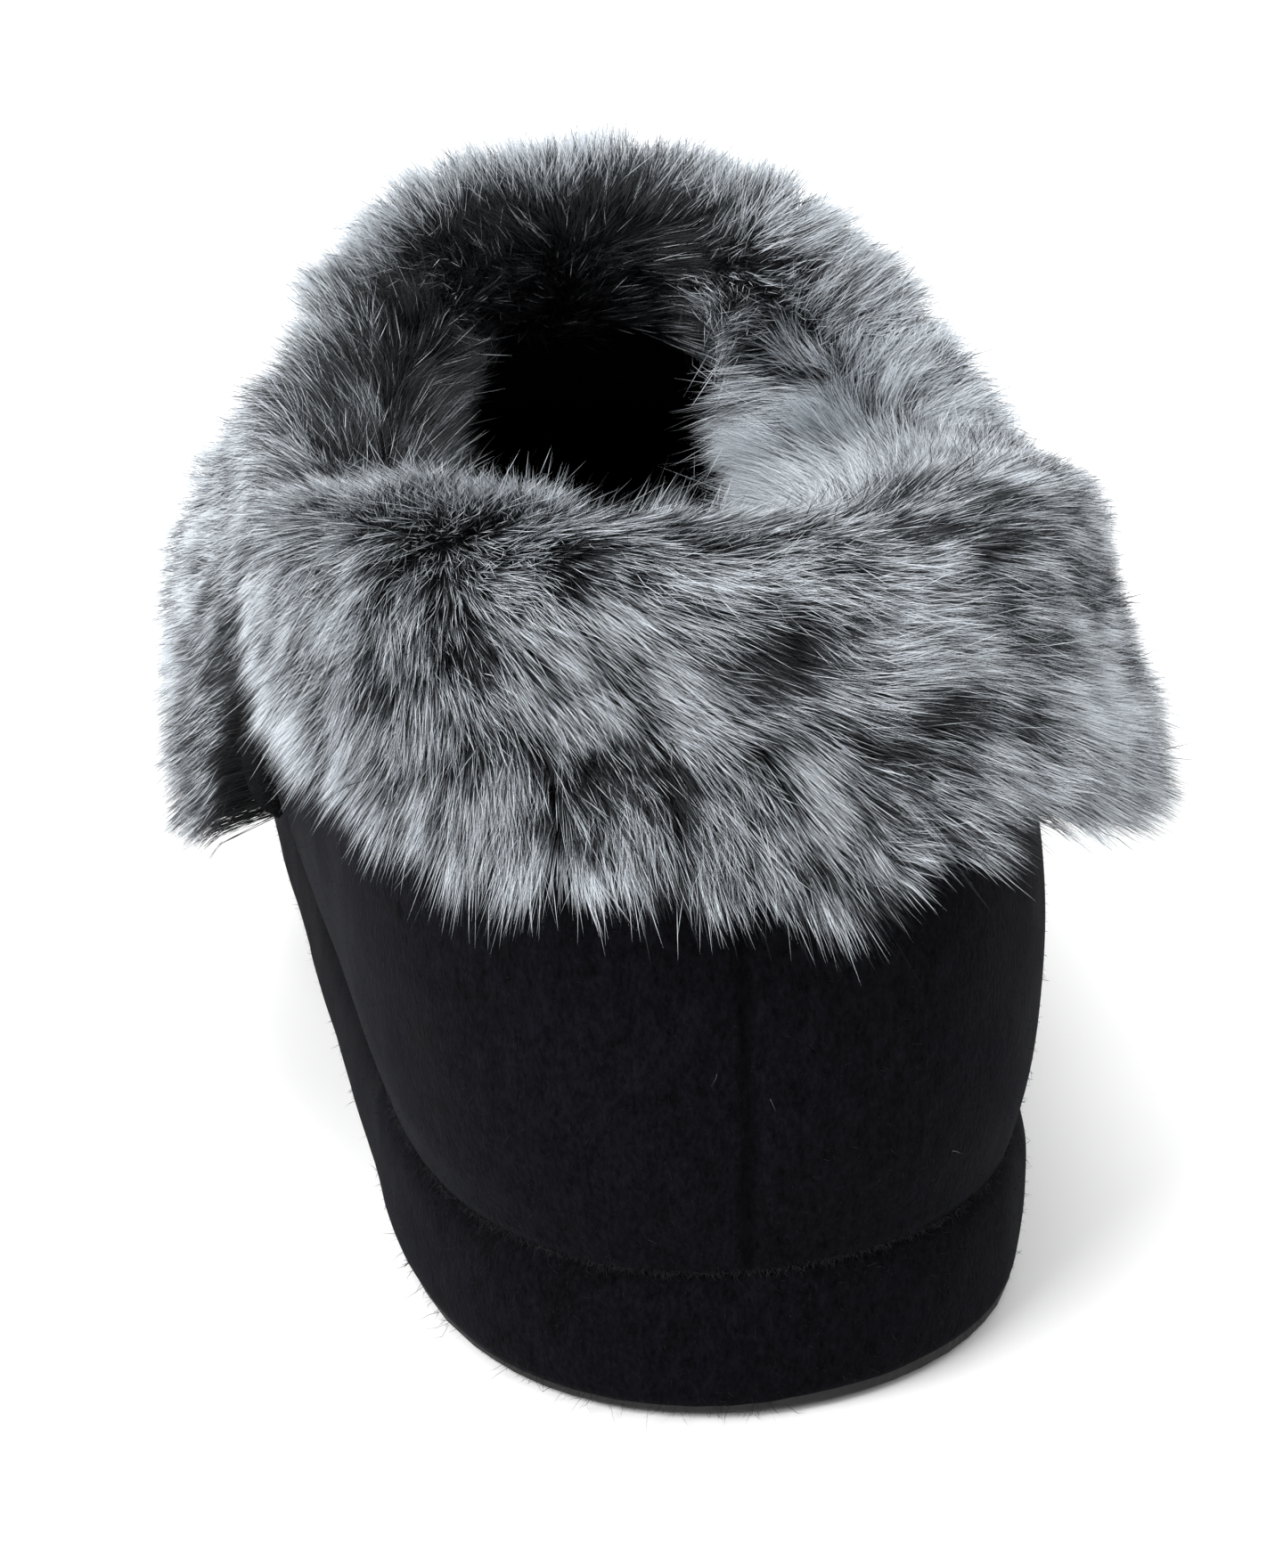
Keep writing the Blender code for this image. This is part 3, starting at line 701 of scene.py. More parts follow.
def seam_painted_shade(tree, place):
    """How light the suede is: painted shade along the groove of the centre-back seam and in the pinhole."""
    axis = add_node(tree, "ShaderNodeSeparateXYZ", {0: place}).outputs
    off_line = maths(tree, "MULTIPLY_ADD", cloud(tree, place, SEAM_WAVER_SCALE, detail=2.0), SEAM_WAVER)
    tree.links.new(axis["X"], off_line.node.inputs[2])
    distance = maths(tree, "ABSOLUTE", maths(tree, "SUBTRACT", off_line, SEAM_WAVER / 2))
    line = ease(tree, distance, *SEAM_EDGES, SEAM_PAINTED_SHADE, 0.0)
    at_heel = ease(tree, axis["Y"], *SEAM_ENDS, 1.0, 0.0)
    gap = add_node(tree, "ShaderNodeVectorMath", {0: place, 1: PINHOLE}, operation="DISTANCE")
    pinhole_painted_shade = ease(tree, gap.outputs["Value"], *PINHOLE_EDGES, PINHOLE_PAINTED_SHADE, 0.0)
    dark = maths(tree, "MAXIMUM", maths(tree, "MULTIPLY", line, at_heel), pinhole_painted_shade)
    return maths(tree, "SUBTRACT", 1.0, dark)


def suede_material(name, settings, mottle_depth, painted_seam):
    """Black brushed suede; the upper's has painted shade along the centre-back seam's groove and in a
    pinhole left by a stitch.
    """
    made, tree, shader, place = new_material(
        name, Sheen_Weight=0.03, Sheen_Roughness=0.40, Sheen_Tint=(0.48, 0.50, 0.62, 1.0),
        Specular_IOR_Level=0.02,
    )
    nap = brushed(
        tree, place, settings.colour, settings.mottle_size, mottle_depth, settings.nap_size, nap_depth=4.5,
    )
    # Painted shade: the seam's groove and the pinhole darken the nap's colour
    colour = tinted(tree, nap["Colour"], seam_painted_shade(tree, place)) if painted_seam else nap["Colour"]
    wear_nap(tree, shader, nap, colour, strength=0.55, distance=0.0006)
    return made


def cloth_material(settings):
    """The footbed's plain dark cloth."""
    made, tree, shader, place = new_material("insole_cloth", Sheen_Weight=0.02, Specular_IOR_Level=0.05)
    nap = brushed(
        tree, place, settings.insole_colour,
        mottle_size=0.02, mottle_depth=0.8, nap_size=0.0008, nap_depth=1.4,
    )
    wear_nap(tree, shader, nap, nap["Colour"], strength=0.4, distance=0.0006)
    return made


def rubber_material(settings):
    """Moulded rubber with a pebble grain, greyer where it is scuffed."""
    made, tree, shader, place = new_material("outsole_rubber", Specular_IOR_Level=0.35)
    pebble = add_node(
        tree, "ShaderNodeTexVoronoi", {"Vector": place, "Scale": 1.0 / settings.pebble_size},
    ).outputs["Distance"]
    scuff = cloud(tree, place, 90.0, detail=6.0, roughness=0.7)
    pits = maths(tree, "MULTIPLY", pebble, -0.25)
    factor = maths(tree, "ADD", ease(tree, scuff, 0.35, 0.75, to_low=0.75, to_high=1.5), pits)
    tree.links.new(tinted(tree, (*settings.rubber_colour, 1.0), factor), shader.inputs["Base Color"])
    roughness = ease(tree, scuff, 0.3, 0.7, to_low=0.55, to_high=0.8)
    tree.links.new(roughness, shader.inputs["Roughness"])
    bump(tree, shader, pebble, strength=0.3, distance=0.0003)
    return made


def underfur_material(settings):
    """The dense dark wool under the hair."""
    made, tree, shader, place = new_material("underfur", Specular_IOR_Level=0.1)
    nap = brushed(
        tree, place, settings.root_colour,
        mottle_size=0.006, mottle_depth=1.2, nap_size=0.0005, nap_depth=1.8,
    )
    wear_nap(tree, shader, nap, nap["Colour"], strength=0.7, distance=0.001)
    return made


def ramp(tree, share, stops):
    """A row of colours along a hair."""
    node = add_node(tree, "ShaderNodeValToRGB", {0: share})
    elements = node.color_ramp.elements
    while len(elements) < len(stops):
        elements.new(0.5)
    for element, (position, colour) in zip(elements, stops):
        element.position = position
        element.color = (*colour, 1.0)
    return node.outputs[0]


def hair_axes(tree):
    """A hair's own map: X is the hair's tone and Y runs from its root to its tip."""
    place = add_node(tree, "ShaderNodeUVMap", uv_map="OFBake").outputs[0]
    return add_node(tree, "ShaderNodeSeparateXYZ", {0: place}).outputs


# How far past a pale hair's dark part its middle colour and its frosted tip are, in shares of its length
MIDDLE_AFTER = 0.13
FROST_AFTER = 0.32


def hair_material(name, settings, dark_share):
    """Frosted hair: dark roots and pale tips, with some hairs dark to the tip."""
    made, tree, shader, _ = new_material(name, 0.62, Specular_IOR_Level=0.15)
    axis = hair_axes(tree)
    roots = [(place, tuple(settings.root_colour)) for place in (0.0, dark_share)]
    middle = (dark_share + MIDDLE_AFTER, tuple(settings.middle_colour))
    frosted = (dark_share + FROST_AFTER, settings.tip_colour)
    pale = ramp(tree, axis["Y"], [*roots, middle, frosted])
    dark = ramp(tree, axis["Y"], [*roots, (1.0, settings.dark_tip_colour)])
    mixed = add_node(tree, "ShaderNodeMix", {"Factor": axis["X"]}, data_type="RGBA")
    tree.links.new(dark, mixed.inputs[6])
    tree.links.new(pale, mixed.inputs[7])
    tree.links.new(mixed.outputs[2], shader.inputs["Base Color"])
    return made


def fibre_material(name, colour, tip):
    """Loose fibres that go from one colour at the root to another at the tip, some lighter than others."""
    made, tree, shader, _ = new_material(name, 0.8, Specular_IOR_Level=0.2)
    axis = hair_axes(tree)
    along = ramp(tree, axis["Y"], [(0.0, colour), (1.0, tip)])
    lightness = ease(tree, axis["X"], 0.0, 1.0, to_low=0.6, to_high=1.4)
    tree.links.new(tinted(tree, along, lightness), shader.inputs["Base Color"])
    return made


# The fur's backing. path runs from 0 at the inner hem to 1 at the outer one, and reach is the hair's height.
Skin = namedtuple(
    "Skin",
    "point normal down around reach path along comb hem_along hem_comb stand lining_along "
    "frost lining_frost lining_to",
)

LINING_STEPS = 10
CREST_STEPS = 6
OUTER_STEPS = 16
CREST_FROM = 0.34
CREST_TO = 0.50
CREST_BASE = 0.4
CREST_GROWTH = 0.6
SKIN_LIFT = 1.0
INNER_HEM_RISE = 2.0


def comb_at(rows, turn):
    """How the hair lies between a table's rows."""
    turns = [row.turn for row in rows]
    return Comb(*(np.interp(turn, turns, column) for column in zip(*rows)))


def fur_skin(rows, comb_rows, first, last, count):
    """The fur's backing as a grid: columns round the collar, steps from the inner hem to the outer hem."""
    lines = []
    for column in np.linspace(first, last, count):
        turn = collar_turn(column)
        size = row_at(rows, turn)
        rim = upper_point(column, 1.0)
        rim_out, rim_up = upper_frame(column, 1.0)
        comb = comb_at(comb_rows, turn)
        lay = (*comb[1:5], *comb[8:])
        lining = size.lining * comb.inner
        high_pile, low_pile = size.high_pile * comb.outer, size.low_pile * comb.outer
        hem = share_at_height(column, size.hem + comb.rise)
        inner_hem = share_at_height(column, rim.z - size.depth + INNER_HEM_RISE)
        line = []
        for step in range(LINING_STEPS):
            share = inner_hem + (1.0 - inner_hem) * step / LINING_STEPS
            out, _ = upper_frame(column, share)
            point = upper_point(column, share) - out * (WALL + SKIN_LIFT)
            line.append((*point, *(-out), lining, CREST_FROM * step / LINING_STEPS, *lay))
        for step in range(CREST_STEPS + 1):
            part = step / CREST_STEPS
            angle = math.pi * (1.0 - part)
            facing = rim_out * math.cos(angle) + rim_up * math.sin(angle)
            across = math.cos(angle) * (WALL / 2 + SKIN_LIFT) - WALL / 2
            point = rim + rim_out * across + rim_up * math.sin(angle) * SKIN_LIFT
            ends = lining + (high_pile - lining) * part
            top = size.crest * (CREST_BASE + CREST_GROWTH * comb.outer)
            reach = ends + (top - ends) * math.sin(angle)
            path = CREST_FROM + (CREST_TO - CREST_FROM) * part
            line.append((*point, *facing, reach, path, *lay))
        for step in range(1, OUTER_STEPS + 1):
            part = step / OUTER_STEPS
            share = 1.0 + (hem - 1.0) * part
            out, _ = upper_frame(column, share)
            point = upper_point(column, share) + out * SKIN_LIFT
            reach = high_pile + (low_pile - high_pile) * part**PILE_CURVE
            path = CREST_TO + (1.0 - CREST_TO) * part
            line.append((*point, *out, reach, path, *lay))
        lines.append(line)
    grid = np.array(lines)
    point = grid[..., :3] * MM
    point[..., 1] -= SOLE_LENGTH / 2 * MM
    down = np.gradient(point, axis=1)
    around = np.gradient(point, axis=0)
    for direction in (down, around):
        direction /= np.linalg.norm(direction, axis=-1, keepdims=True)
    reach = (grid[..., 6] - SKIN_LIFT) * MM
    rest = (grid[..., k] for k in range(7, grid.shape[-1]))
    return Skin(point, grid[..., 3:6], down, around, reach, *rest)


def sprout(rng, skin, density, low, high):
    """Roots between two places on the skin's path, spread so that the fur's surface is evenly full."""
    p = fur_surface(skin, SURFACE_SHARE)
    across = p[1:, :-1] - p[:-1, :-1]
    over = p[:-1, 1:] - p[:-1, :-1]
    area = np.linalg.norm(np.cross(across, over), axis=-1)
    middle = (skin.path[:-1, :-1] + skin.path[:-1, 1:]) / 2
    area[(middle < low) | (middle > high)] = 0.0
    count = int(area.sum() * density)
    wide = area.shape[1]
    cell = rng.choice(area.size, size=count, p=(area / area.sum()).ravel())
    i, j = cell // wide, cell % wide
    u, v = rng.random(count), rng.random(count)

    def blend(values):
        a, b, c, d = values[i, j], values[i + 1, j], values[i, j + 1], values[i + 1, j + 1]
        s, t = (u[:, None], v[:, None]) if values.ndim == 3 else (u, v)
        return (a * (1 - s) + b * s) * (1 - t) + (c * (1 - s) + d * s) * t

    return Skin(*(blend(values) for values in skin))


def parted(points):
    """How deep in a parting each point is, and the way out of it."""
    depth = np.zeros(len(points))
    way = np.zeros_like(points)
    for parting in PARTINGS:
        away = points - np.array((parting.x, parting.y, parting.z)) * MM
        distance = np.linalg.norm(away, axis=1)
        weight = parting.depth * np.exp(-((distance / (parting.radius * MM)) ** 2))
        depth = np.maximum(depth, weight)
        way += away / np.maximum(distance, 1e-6)[:, None] * weight[:, None]
    return depth, way


# The hair's course: lengths are in metres, and the rest are shares or places on the skin's path.
HAIR_STATIONS = np.array((0.0, 0.5, 1.0))
STAND_CURVE = 1.7
SWEEP_CURVE = 1.55
SAG = 0.0010
LENGTH_SPREAD = 0.06
SURFACE_SHARE = 0.7
LINING_COMB = 0.85
LINING_CALM = 0.5
HEM_FROM = 0.68
HEM_BLEND = 0.25
HEM_CALM = 0.5
CREST_MIDDLE = 0.44
CREST_WIDTH = 0.075
CREST_SLOW = 0.25
UPRIGHT_WILD = 1.5
PARTING_SHORT = 0.22
PARTING_PUSH = 0.3
STREAK_PARTS = (-1.0, -0.5, 0.0, 0.5, 1.0)
STREAK_SWELL = 0.26


def fur_surface(skin, share):
    """Places over the skin, at a share of the height that the hair reaches."""
    return skin.point + skin.normal * skin.reach[..., None] * share


def hair_lines(rng, roots, settings, wild, length):
    """The course of each hair from its root: it stands out of the skin and bends the way it is combed."""
    count = len(roots.point)
    inside = np.clip((CREST_TO - roots.path) / (CREST_TO - CREST_FROM), 0.0, 1.0)
    crest = np.exp(-(((roots.path - CREST_MIDDLE) / CREST_WIDTH) ** 2))
    hem = np.clip((roots.path - HEM_FROM) / HEM_BLEND, 0.0, 1.0)
    hem = hem * hem * (3.0 - 2.0 * hem)
    along = roots.along + (roots.hem_along - roots.along) * hem
    down = roots.comb + (roots.hem_comb - roots.comb) * hem
    along = (along * (1.0 - inside) + roots.lining_along * inside) * (1.0 - CREST_SLOW * crest)
    down = (down * (1.0 - inside) + LINING_COMB * inside) * (1.0 - roots.stand * crest)
    upright = np.clip(1.0 - np.hypot(along, down), 0.0, 1.0)
    wild = wild * (1.0 + UPRIGHT_WILD * upright) * (1.0 - LINING_CALM * inside)
    calm = 1.0 - HEM_CALM * hem
    along = along + ripple(roots.point, SWAY_AROUND) * calm + rng.normal(0.0, 1.0, count) * wild
    down = down + ripple(roots.point, SWAY_DOWN) * calm + rng.normal(0.0, 1.0, count) * wild
    sweep = settings.outer_sweep + (settings.lining_sweep - settings.outer_sweep) * inside
    length = length * rng.normal(1.0, LENGTH_SPREAD, count)
    surface = fur_surface(roots, 1.0)
    depth, way = parted(surface)
    length = length * (1.0 - PARTING_SHORT * depth)
    flat = roots.around * along[:, None] + roots.down * down[:, None] + way * PARTING_PUSH
    flat = flat * (sweep * length)[:, None]
    streak = np.mean([ripple(surface + flat * part, STREAKS) for part in STREAK_PARTS], axis=0)
    stand = roots.normal * (roots.reach * length * (1.0 + STREAK_SWELL * streak))[:, None]
    t = HAIR_STATIONS[None, :, None]
    risen = 1.0 - (1.0 - t) ** STAND_CURVE
    lines = roots.point[:, None, :] + stand[:, None, :] * risen + flat[:, None, :] * t**SWEEP_CURVE
    lines[..., 2] -= SAG * HAIR_STATIONS**2
    return lines, depth, streak


def nearest(places, middles):
    """The nearest middle to each place, and how far off it is."""
    tree = KDTree(len(middles))
    for i, point in enumerate(middles):
        tree.insert(point, i)
    tree.balance()
    found = [tree.find(point) for point in places]
    return np.array([hit[1] for hit in found]), np.array([hit[2] for hit in found])


# How hair is drawn to its lock or tuft: how much that varies, its limits and its growth towards the tip
PULL_SPREAD = 0.14
PULL_LIMITS = (0.05, 0.95)
PULL_CURVE = 1.25


def gather(rng, lines, guide_lines, lock, pull):
    """Draws each hair to its lock, more so towards its tip."""
    strength = np.clip(rng.normal(pull, PULL_SPREAD, len(lines)), *PULL_LIMITS)
    share = strength[:, None, None] * (HAIR_STATIONS**PULL_CURVE)[None, :, None]
    return lines + (guide_lines[lock] - lines) * share


# A hair's width half way up against its root's, and its place on its map
TIP_TAPER = 0.8
MAP_MARGIN = 0.01
MAP_HALF_WIDTH = 0.004


def strand_mesh(name, lines, faces_to, width, tone):
    """One mesh of flat tapering hairs. lines: hair, station, place. faces_to: the way a flat side looks."""
    count, stations, _ = lines.shape
    course = np.gradient(lines, axis=1)
    side = np.cross(course, faces_to[:, None, :])
    side /= np.maximum(np.linalg.norm(side, axis=-1, keepdims=True), 1e-9)
    taper = np.linspace(1.0, TIP_TAPER, stations - 1)
    half = side[:, :-1] * (width[:, None] * 0.5 * taper[None, :])[..., None]
    corners = np.stack([lines[:, :-1] - half, lines[:, :-1] + half], axis=2).reshape(count, -1, 3)
    points = np.concatenate([corners, lines[:, -1:]], axis=1)
    per = points.shape[1]
    quads = stations - 2
    pattern = [index for k in range(quads) for index in (2 * k, 2 * k + 1, 2 * k + 3, 2 * k + 2)]
    pattern += [per - 3, per - 2, per - 1]
    loops = (np.arange(count)[:, None] * per + np.array(pattern)[None, :]).ravel()
    totals = np.tile([4] * quads + [3], count)
    starts = np.concatenate([[0], np.cumsum(totals)[:-1]])
    mesh = bpy.data.meshes.new(name)
    mesh.vertices.add(count * per)
    mesh.vertices.foreach_set("co", points.astype(np.float32).ravel())
    mesh.loops.add(len(loops))
    mesh.loops.foreach_set("vertex_index", loops.astype(np.int32))
    mesh.polygons.add(len(totals))
    mesh.polygons.foreach_set("loop_start", starts.astype(np.int32))
    mesh.polygons.foreach_set("loop_total", totals.astype(np.int32))
    mesh.update(calc_edges=True)
    v = np.linspace(0.0, 1.0, stations)
    across = np.tile([-MAP_HALF_WIDTH, MAP_HALF_WIDTH], stations - 1).tolist() + [0.0]
    upward = np.repeat(v[:-1], 2).tolist() + [1.0]
    span = 1.0 - 2.0 * MAP_MARGIN
    u = np.clip(tone, 0.0, 1.0)[:, None] * span + MAP_MARGIN + np.array(across)[None, :]
    rows = np.tile(np.array(upward) * span + MAP_MARGIN, (count, 1))
    uv = np.stack([u, rows], axis=-1).reshape(-1, 2)[loops]
    layer = mesh.uv_layers.new(name="OFBake")
    layer.data.foreach_set("uv", uv.astype(np.float32).ravel())
    mesh.shade_smooth()
    obj = bpy.data.objects.new(name, mesh)
    bpy.context.scene.collection.objects.link(obj)
    return obj


# How the hair gathers and takes its tone: lengths are in metres and the rest are shares.
HAIR_WILD = 0.38
TUFT_WILD = 0.28
LOCK_WILD = 0.32
LOCK_PULL = 0.24
TUFT_PULL = 0.28
TUFT_LENGTH_SPREAD = 0.05
TUFT_LENGTHS = (0.8, 1.2)
FRINGE_REACH = 0.8
FRINGE_SHORT = 0.18
# Painted shade between tufts: how much more often hairs at a tuft's border turn dark
FRINGE_PAINTED_SHADE = 0.30
# Painted shade in partings, over the dark roots that show there: how much more often hairs turn dark
PARTING_PAINTED_SHADE = 0.60
STREAK_STRENGTH = 3.5
TUFT_TONE_SPREAD = 0.10
LOCK_TONE_SPREAD = 0.08
LINING_BLEND = 0.035
PATCH_BASE = 0.25
PATCH_GROWTH = 1.5
PATCH_FADE = 1.5
PATCH_LEAST = 0.45
PALE_LIMITS = (0.04, 0.97)
PALE_TONES = (0.70, 1.0)
DARK_TONES = (0.0, 0.07)
STRAY_SHARE = 0.05
STRAY_EXTRA = 0.06
STRAY_SPREAD = 0.0018
WIDTH_SPREAD = 0.18
WIDTH_LIMITS = (0.6, 1.5)
FACING_SPREAD = 0.55


def hair_tones(rng, roots, patch, depth, fringe):
    """The tone of each hair, pale or dark to the tip, by where it grows, with painted shade making hairs
    dark more often at tuft borders and in partings.
    """
    count = len(roots.point)
    lining = np.clip((roots.lining_to - roots.path) / LINING_BLEND, 0.0, 1.0)
    frost = roots.frost + (roots.lining_frost - roots.frost) * lining
    patch = patch * np.clip(PATCH_BASE + PATCH_GROWTH * frost, 0.0, 1.0)
    patch = patch * np.clip(PATCH_FADE - frost, PATCH_LEAST, 1.0)
    # Partings and tuft borders get painted shade: their hairs turn dark more often
    pale = frost + patch - PARTING_PAINTED_SHADE * depth - FRINGE_PAINTED_SHADE * fringe
    is_pale = rng.random(count) < np.clip(pale, *PALE_LIMITS)
    return np.where(is_pale, rng.uniform(*PALE_TONES, count), rng.uniform(*DARK_TONES, count))


def grow_fur(name, rng, skin, settings, low, high, share):
    """A stretch of fur: hairs on the skin between two places of its path, gathered to locks and tufts."""
    roots = sprout(rng, skin, settings.density * share / MM**2, low, high)
    tufts = sprout(rng, skin, 1.0 / settings.tuft_spacing**2, low, high)
    locks = sprout(rng, skin, 1.0 / settings.lock_spacing**2, low, high)
    count = len(roots.point)
    place = fur_surface(roots, SURFACE_SHARE)
    tuft, off_tuft = nearest(place, fur_surface(tufts, SURFACE_SHARE))
    lock, _ = nearest(place, fur_surface(locks, SURFACE_SHARE))
    tuft_length = np.clip(rng.normal(1.0, TUFT_LENGTH_SPREAD, len(tufts.point)), *TUFT_LENGTHS)
    # Nearness to a tuft's border: hairs there are shorter and carry painted shade
    fringe = np.clip(off_tuft / (FRINGE_REACH * settings.tuft_spacing), 0.0, 1.0) ** 2
    length = tuft_length[tuft] * (1.0 - FRINGE_SHORT * fringe)
    lines, depth, streak = hair_lines(rng, roots, settings, HAIR_WILD, length)
    tuft_lines, _, _ = hair_lines(rng, tufts, settings, TUFT_WILD, tuft_length)
    lock_lines, _, _ = hair_lines(rng, locks, settings, LOCK_WILD, np.ones(len(locks.point)))
    lines = gather(rng, lines, lock_lines, lock, LOCK_PULL)
    lines = gather(rng, lines, tuft_lines, tuft, TUFT_PULL)
    patch = STREAK_STRENGTH * streak + ripple(place, FROST_PATCHES)
    patch = patch + rng.normal(0.0, TUFT_TONE_SPREAD, len(tufts.point))[tuft]
    patch = patch + rng.normal(0.0, LOCK_TONE_SPREAD, len(locks.point))[lock]
    tone = hair_tones(rng, roots, patch, depth, fringe)
    stray = rng.random(count) < STRAY_SHARE
    tip = lines[:, -1] - lines[:, 0]
    lines[stray] += tip[stray, None, :] * (STRAY_EXTRA * HAIR_STATIONS)[None, :, None]
    lines[stray] += rng.normal(0.0, STRAY_SPREAD, (stray.sum(), 1, 3)) * HAIR_STATIONS[None, :, None]
    width = settings.hair_width * np.clip(rng.normal(1.0, WIDTH_SPREAD, count), *WIDTH_LIMITS)
    faces_to = roots.normal + rng.normal(0.0, FACING_SPREAD, (count, 3))
    return strand_mesh(name, lines, faces_to, width, tone)


def pelt(name, skin, thickness):
    """The dense dark underfur: a grid laid over the skin and given a thickness."""
    columns, steps = skin.path.shape
    bpy.ops.object.select_all(action="DESELECT")
    bpy.ops.mesh.primitive_grid_add(x_subdivisions=steps - 1, y_subdivisions=columns - 1, size=1.0)
    obj = bpy.context.active_object
    obj.name = name
    obj.data.name = name
    if len(obj.data.vertices) != columns * steps:
        raise RuntimeError(f"{name}: the grid has {len(obj.data.vertices)} points")
    hem = np.clip(np.minimum(1.0 - skin.path, skin.path) / HEM_TAPER, 0.0, 1.0) ** 0.5
    rise = skin.reach * thickness * hem
    set_points(obj, (skin.point + skin.normal * rise[..., None]).reshape(-1, 3))
    group = obj.vertex_groups.new(name="thickness")
    for index, weight in enumerate((rise / rise.max()).ravel()):
        group.add([index], float(weight), "REPLACE")
    select_only(obj)
    bpy.ops.object.mode_set(mode="EDIT")
    bpy.ops.mesh.select_all(action="SELECT")
    bpy.ops.mesh.normals_make_consistent(inside=False)
    bpy.ops.object.mode_set(mode="OBJECT")
    facing = mesh_normals(obj) * skin.normal.reshape(-1, 3)
    if facing.sum() < 0.0:
        obj.data.flip_normals()
    body = obj.modifiers.new("body", "SOLIDIFY")
    body.thickness = rise.max()
    body.offset = -1.0
    body.vertex_group = "thickness"
    body.thickness_vertex_group = PELT_THINNEST
    apply_all(obj)
    bpy.ops.object.shade_smooth()
    return obj


# The wrap over the platform, in metres. It is even near its edges and a little raised on the shelf, and its
# lower edge hangs over the outsole, more so where it has come loose under the outer side of the heel.
BAND_EDGE = 0.003
SHELF_LIFT = 0.00026
WRAP_EDGE = 0.004
WRAP_HANG = 0.0015
WRAP_LOOSE = 0.0006
LOOSE_WIDTH = 0.02
LOOSE_LENGTH = 0.05

# Points of the footbed that face up more than this are its top.
TOP_FACING = 0.5

# The upper's folds fade out near the platform. Over the vamp the wall's way out turns to the toe, in part.
FOLDS_FROM = 0.019
FOLDS_FADE = 0.006
VAMP_TURN = 0.6


class SLIPPER_OT_outsole(bpy.types.Operator):
    """Gives the moulded outsole its pebbled rubber"""

    bl_idname = "slipper.outsole"
    bl_label = "Outsole"
    bl_options = {"REGISTER", "UNDO"}

    def execute(self, context):
        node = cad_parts["outsole"]
        node.data.materials.clear()
        node.data.materials.append(rubber_material(context.scene.slipper_sole))
        return {"FINISHED"}


class SLIPPER_OT_midsole_band(bpy.types.Operator):
    """Wraps the foam platform in suede, a little uneven as cloth pulled over foam is"""

    bl_idname = "slipper.midsole_band"
    bl_label = "Platform band"
    bl_options = {"REGISTER", "UNDO"}

    def execute(self, context):
        obj = refined_copy("midsole_band", "platform_band", levels=2, crease_angle=math.radians(70.0))
        points = mesh_points(obj)
        low, high = points[:, 2].min(), points[:, 2].max()
        over_low = np.clip((points[:, 2] - low) / BAND_EDGE, 0.0, 1.0)
        under_high = np.clip((high - points[:, 2]) / BAND_EDGE, 0.0, 1.0)
        uneven = ripple(points, BAND_WAVES) + ripple(points, BAND_DIMPLES)
        points = points + mesh_normals(obj) * (uneven * (over_low * under_high) * MM)[:, None]
        shelf = np.clip(mesh_normals(obj)[:, 2], 0.0, 1.0) ** 2
        points[:, 2] += shelf * SHELF_LIFT * (1.0 + ripple(points, SHELF_WAVES))
        edge = np.clip(1.0 - (points[:, 2] - low) / WRAP_EDGE, 0.0, 1.0)
        outer = np.clip(-points[:, 0] / LOOSE_WIDTH, 0.0, 1.0)
        heel = np.clip(-points[:, 1] / LOOSE_LENGTH, 0.0, 1.0)
        points[:, 2] -= edge * (WRAP_HANG + WRAP_LOOSE * (outer * heel))
        set_points(obj, points)
        finish = suede_material("band_suede", context.scene.slipper_suede, mottle_depth=0.9, painted_seam=False)
        finish_piece(obj, finish, "band_suede", "midsole_band")
        return {"FINISHED"}


class SLIPPER_OT_insole(bpy.types.Operator):
    """Rounds the footbed into a soft pad of dark cloth"""

    bl_idname = "slipper.insole"
    bl_label = "Insole"
    bl_options = {"REGISTER", "UNDO"}

    def execute(self, context):
        obj = refined_copy("insole", "footbed", levels=2, crease_angle=math.radians(50.0))
        points = mesh_points(obj)
        top = mesh_normals(obj)[:, 2] > TOP_FACING
        points[top, 2] += ripple(points[top], INSOLE_WAVES) * MM
        set_points(obj, points)
        finish_piece(obj, cloth_material(context.scene.slipper_suede), "insole_fabric", "insole")
        return {"FINISHED"}


class SLIPPER_OT_upper(bpy.types.Operator):
    """Makes the suede upper: the lasted shell with its soft folds and the centre-back seam, with painted
    shade in the seam's groove and a pinhole
    """

    bl_idname = "slipper.upper"
    bl_label = "Upper"
    bl_options = {"REGISTER", "UNDO"}

    def execute(self, context):
        obj = refined_copy("upper", "suede_upper", levels=2, crease_angle=math.radians(60.0))
        points = mesh_points(obj)
        axis = np.array((0.0, COLLAR_MIDDLE - SOLE_LENGTH / 2, 0.0)) * MM
        away = points - axis
        away[:, 1] = np.where(points[:, 1] > 0.0, points[:, 1] * VAMP_TURN, away[:, 1])
        away[:, 2] = 0.0
        away /= np.maximum(np.linalg.norm(away, axis=1, keepdims=True), 1e-6)
        depth = fold_depth(points, UPPER_FOLDS) - ripple(points, UPPER_WAVES) * MM
        depth *= np.clip((points[:, 2] - FOLDS_FROM) / FOLDS_FADE, 0.0, 1.0)
        set_points(obj, points - away * depth[:, None])
        # The upper's suede gets painted shade along the seam's groove and in the pinhole
        finish = suede_material("upper_suede", context.scene.slipper_suede, mottle_depth=1.0, painted_seam=True)
        finish_piece(obj, finish, "upper_suede", "upper")
        return {"FINISHED"}


# The underfur: its grid's columns, its thickness in shares of the fur's, and how it thins out at the hems
PELT_COLUMNS = {"back": 110, "front": 150}
PELT_THICKNESS = 0.42
PELT_THINNEST = 0.08
HEM_TAPER = 0.16

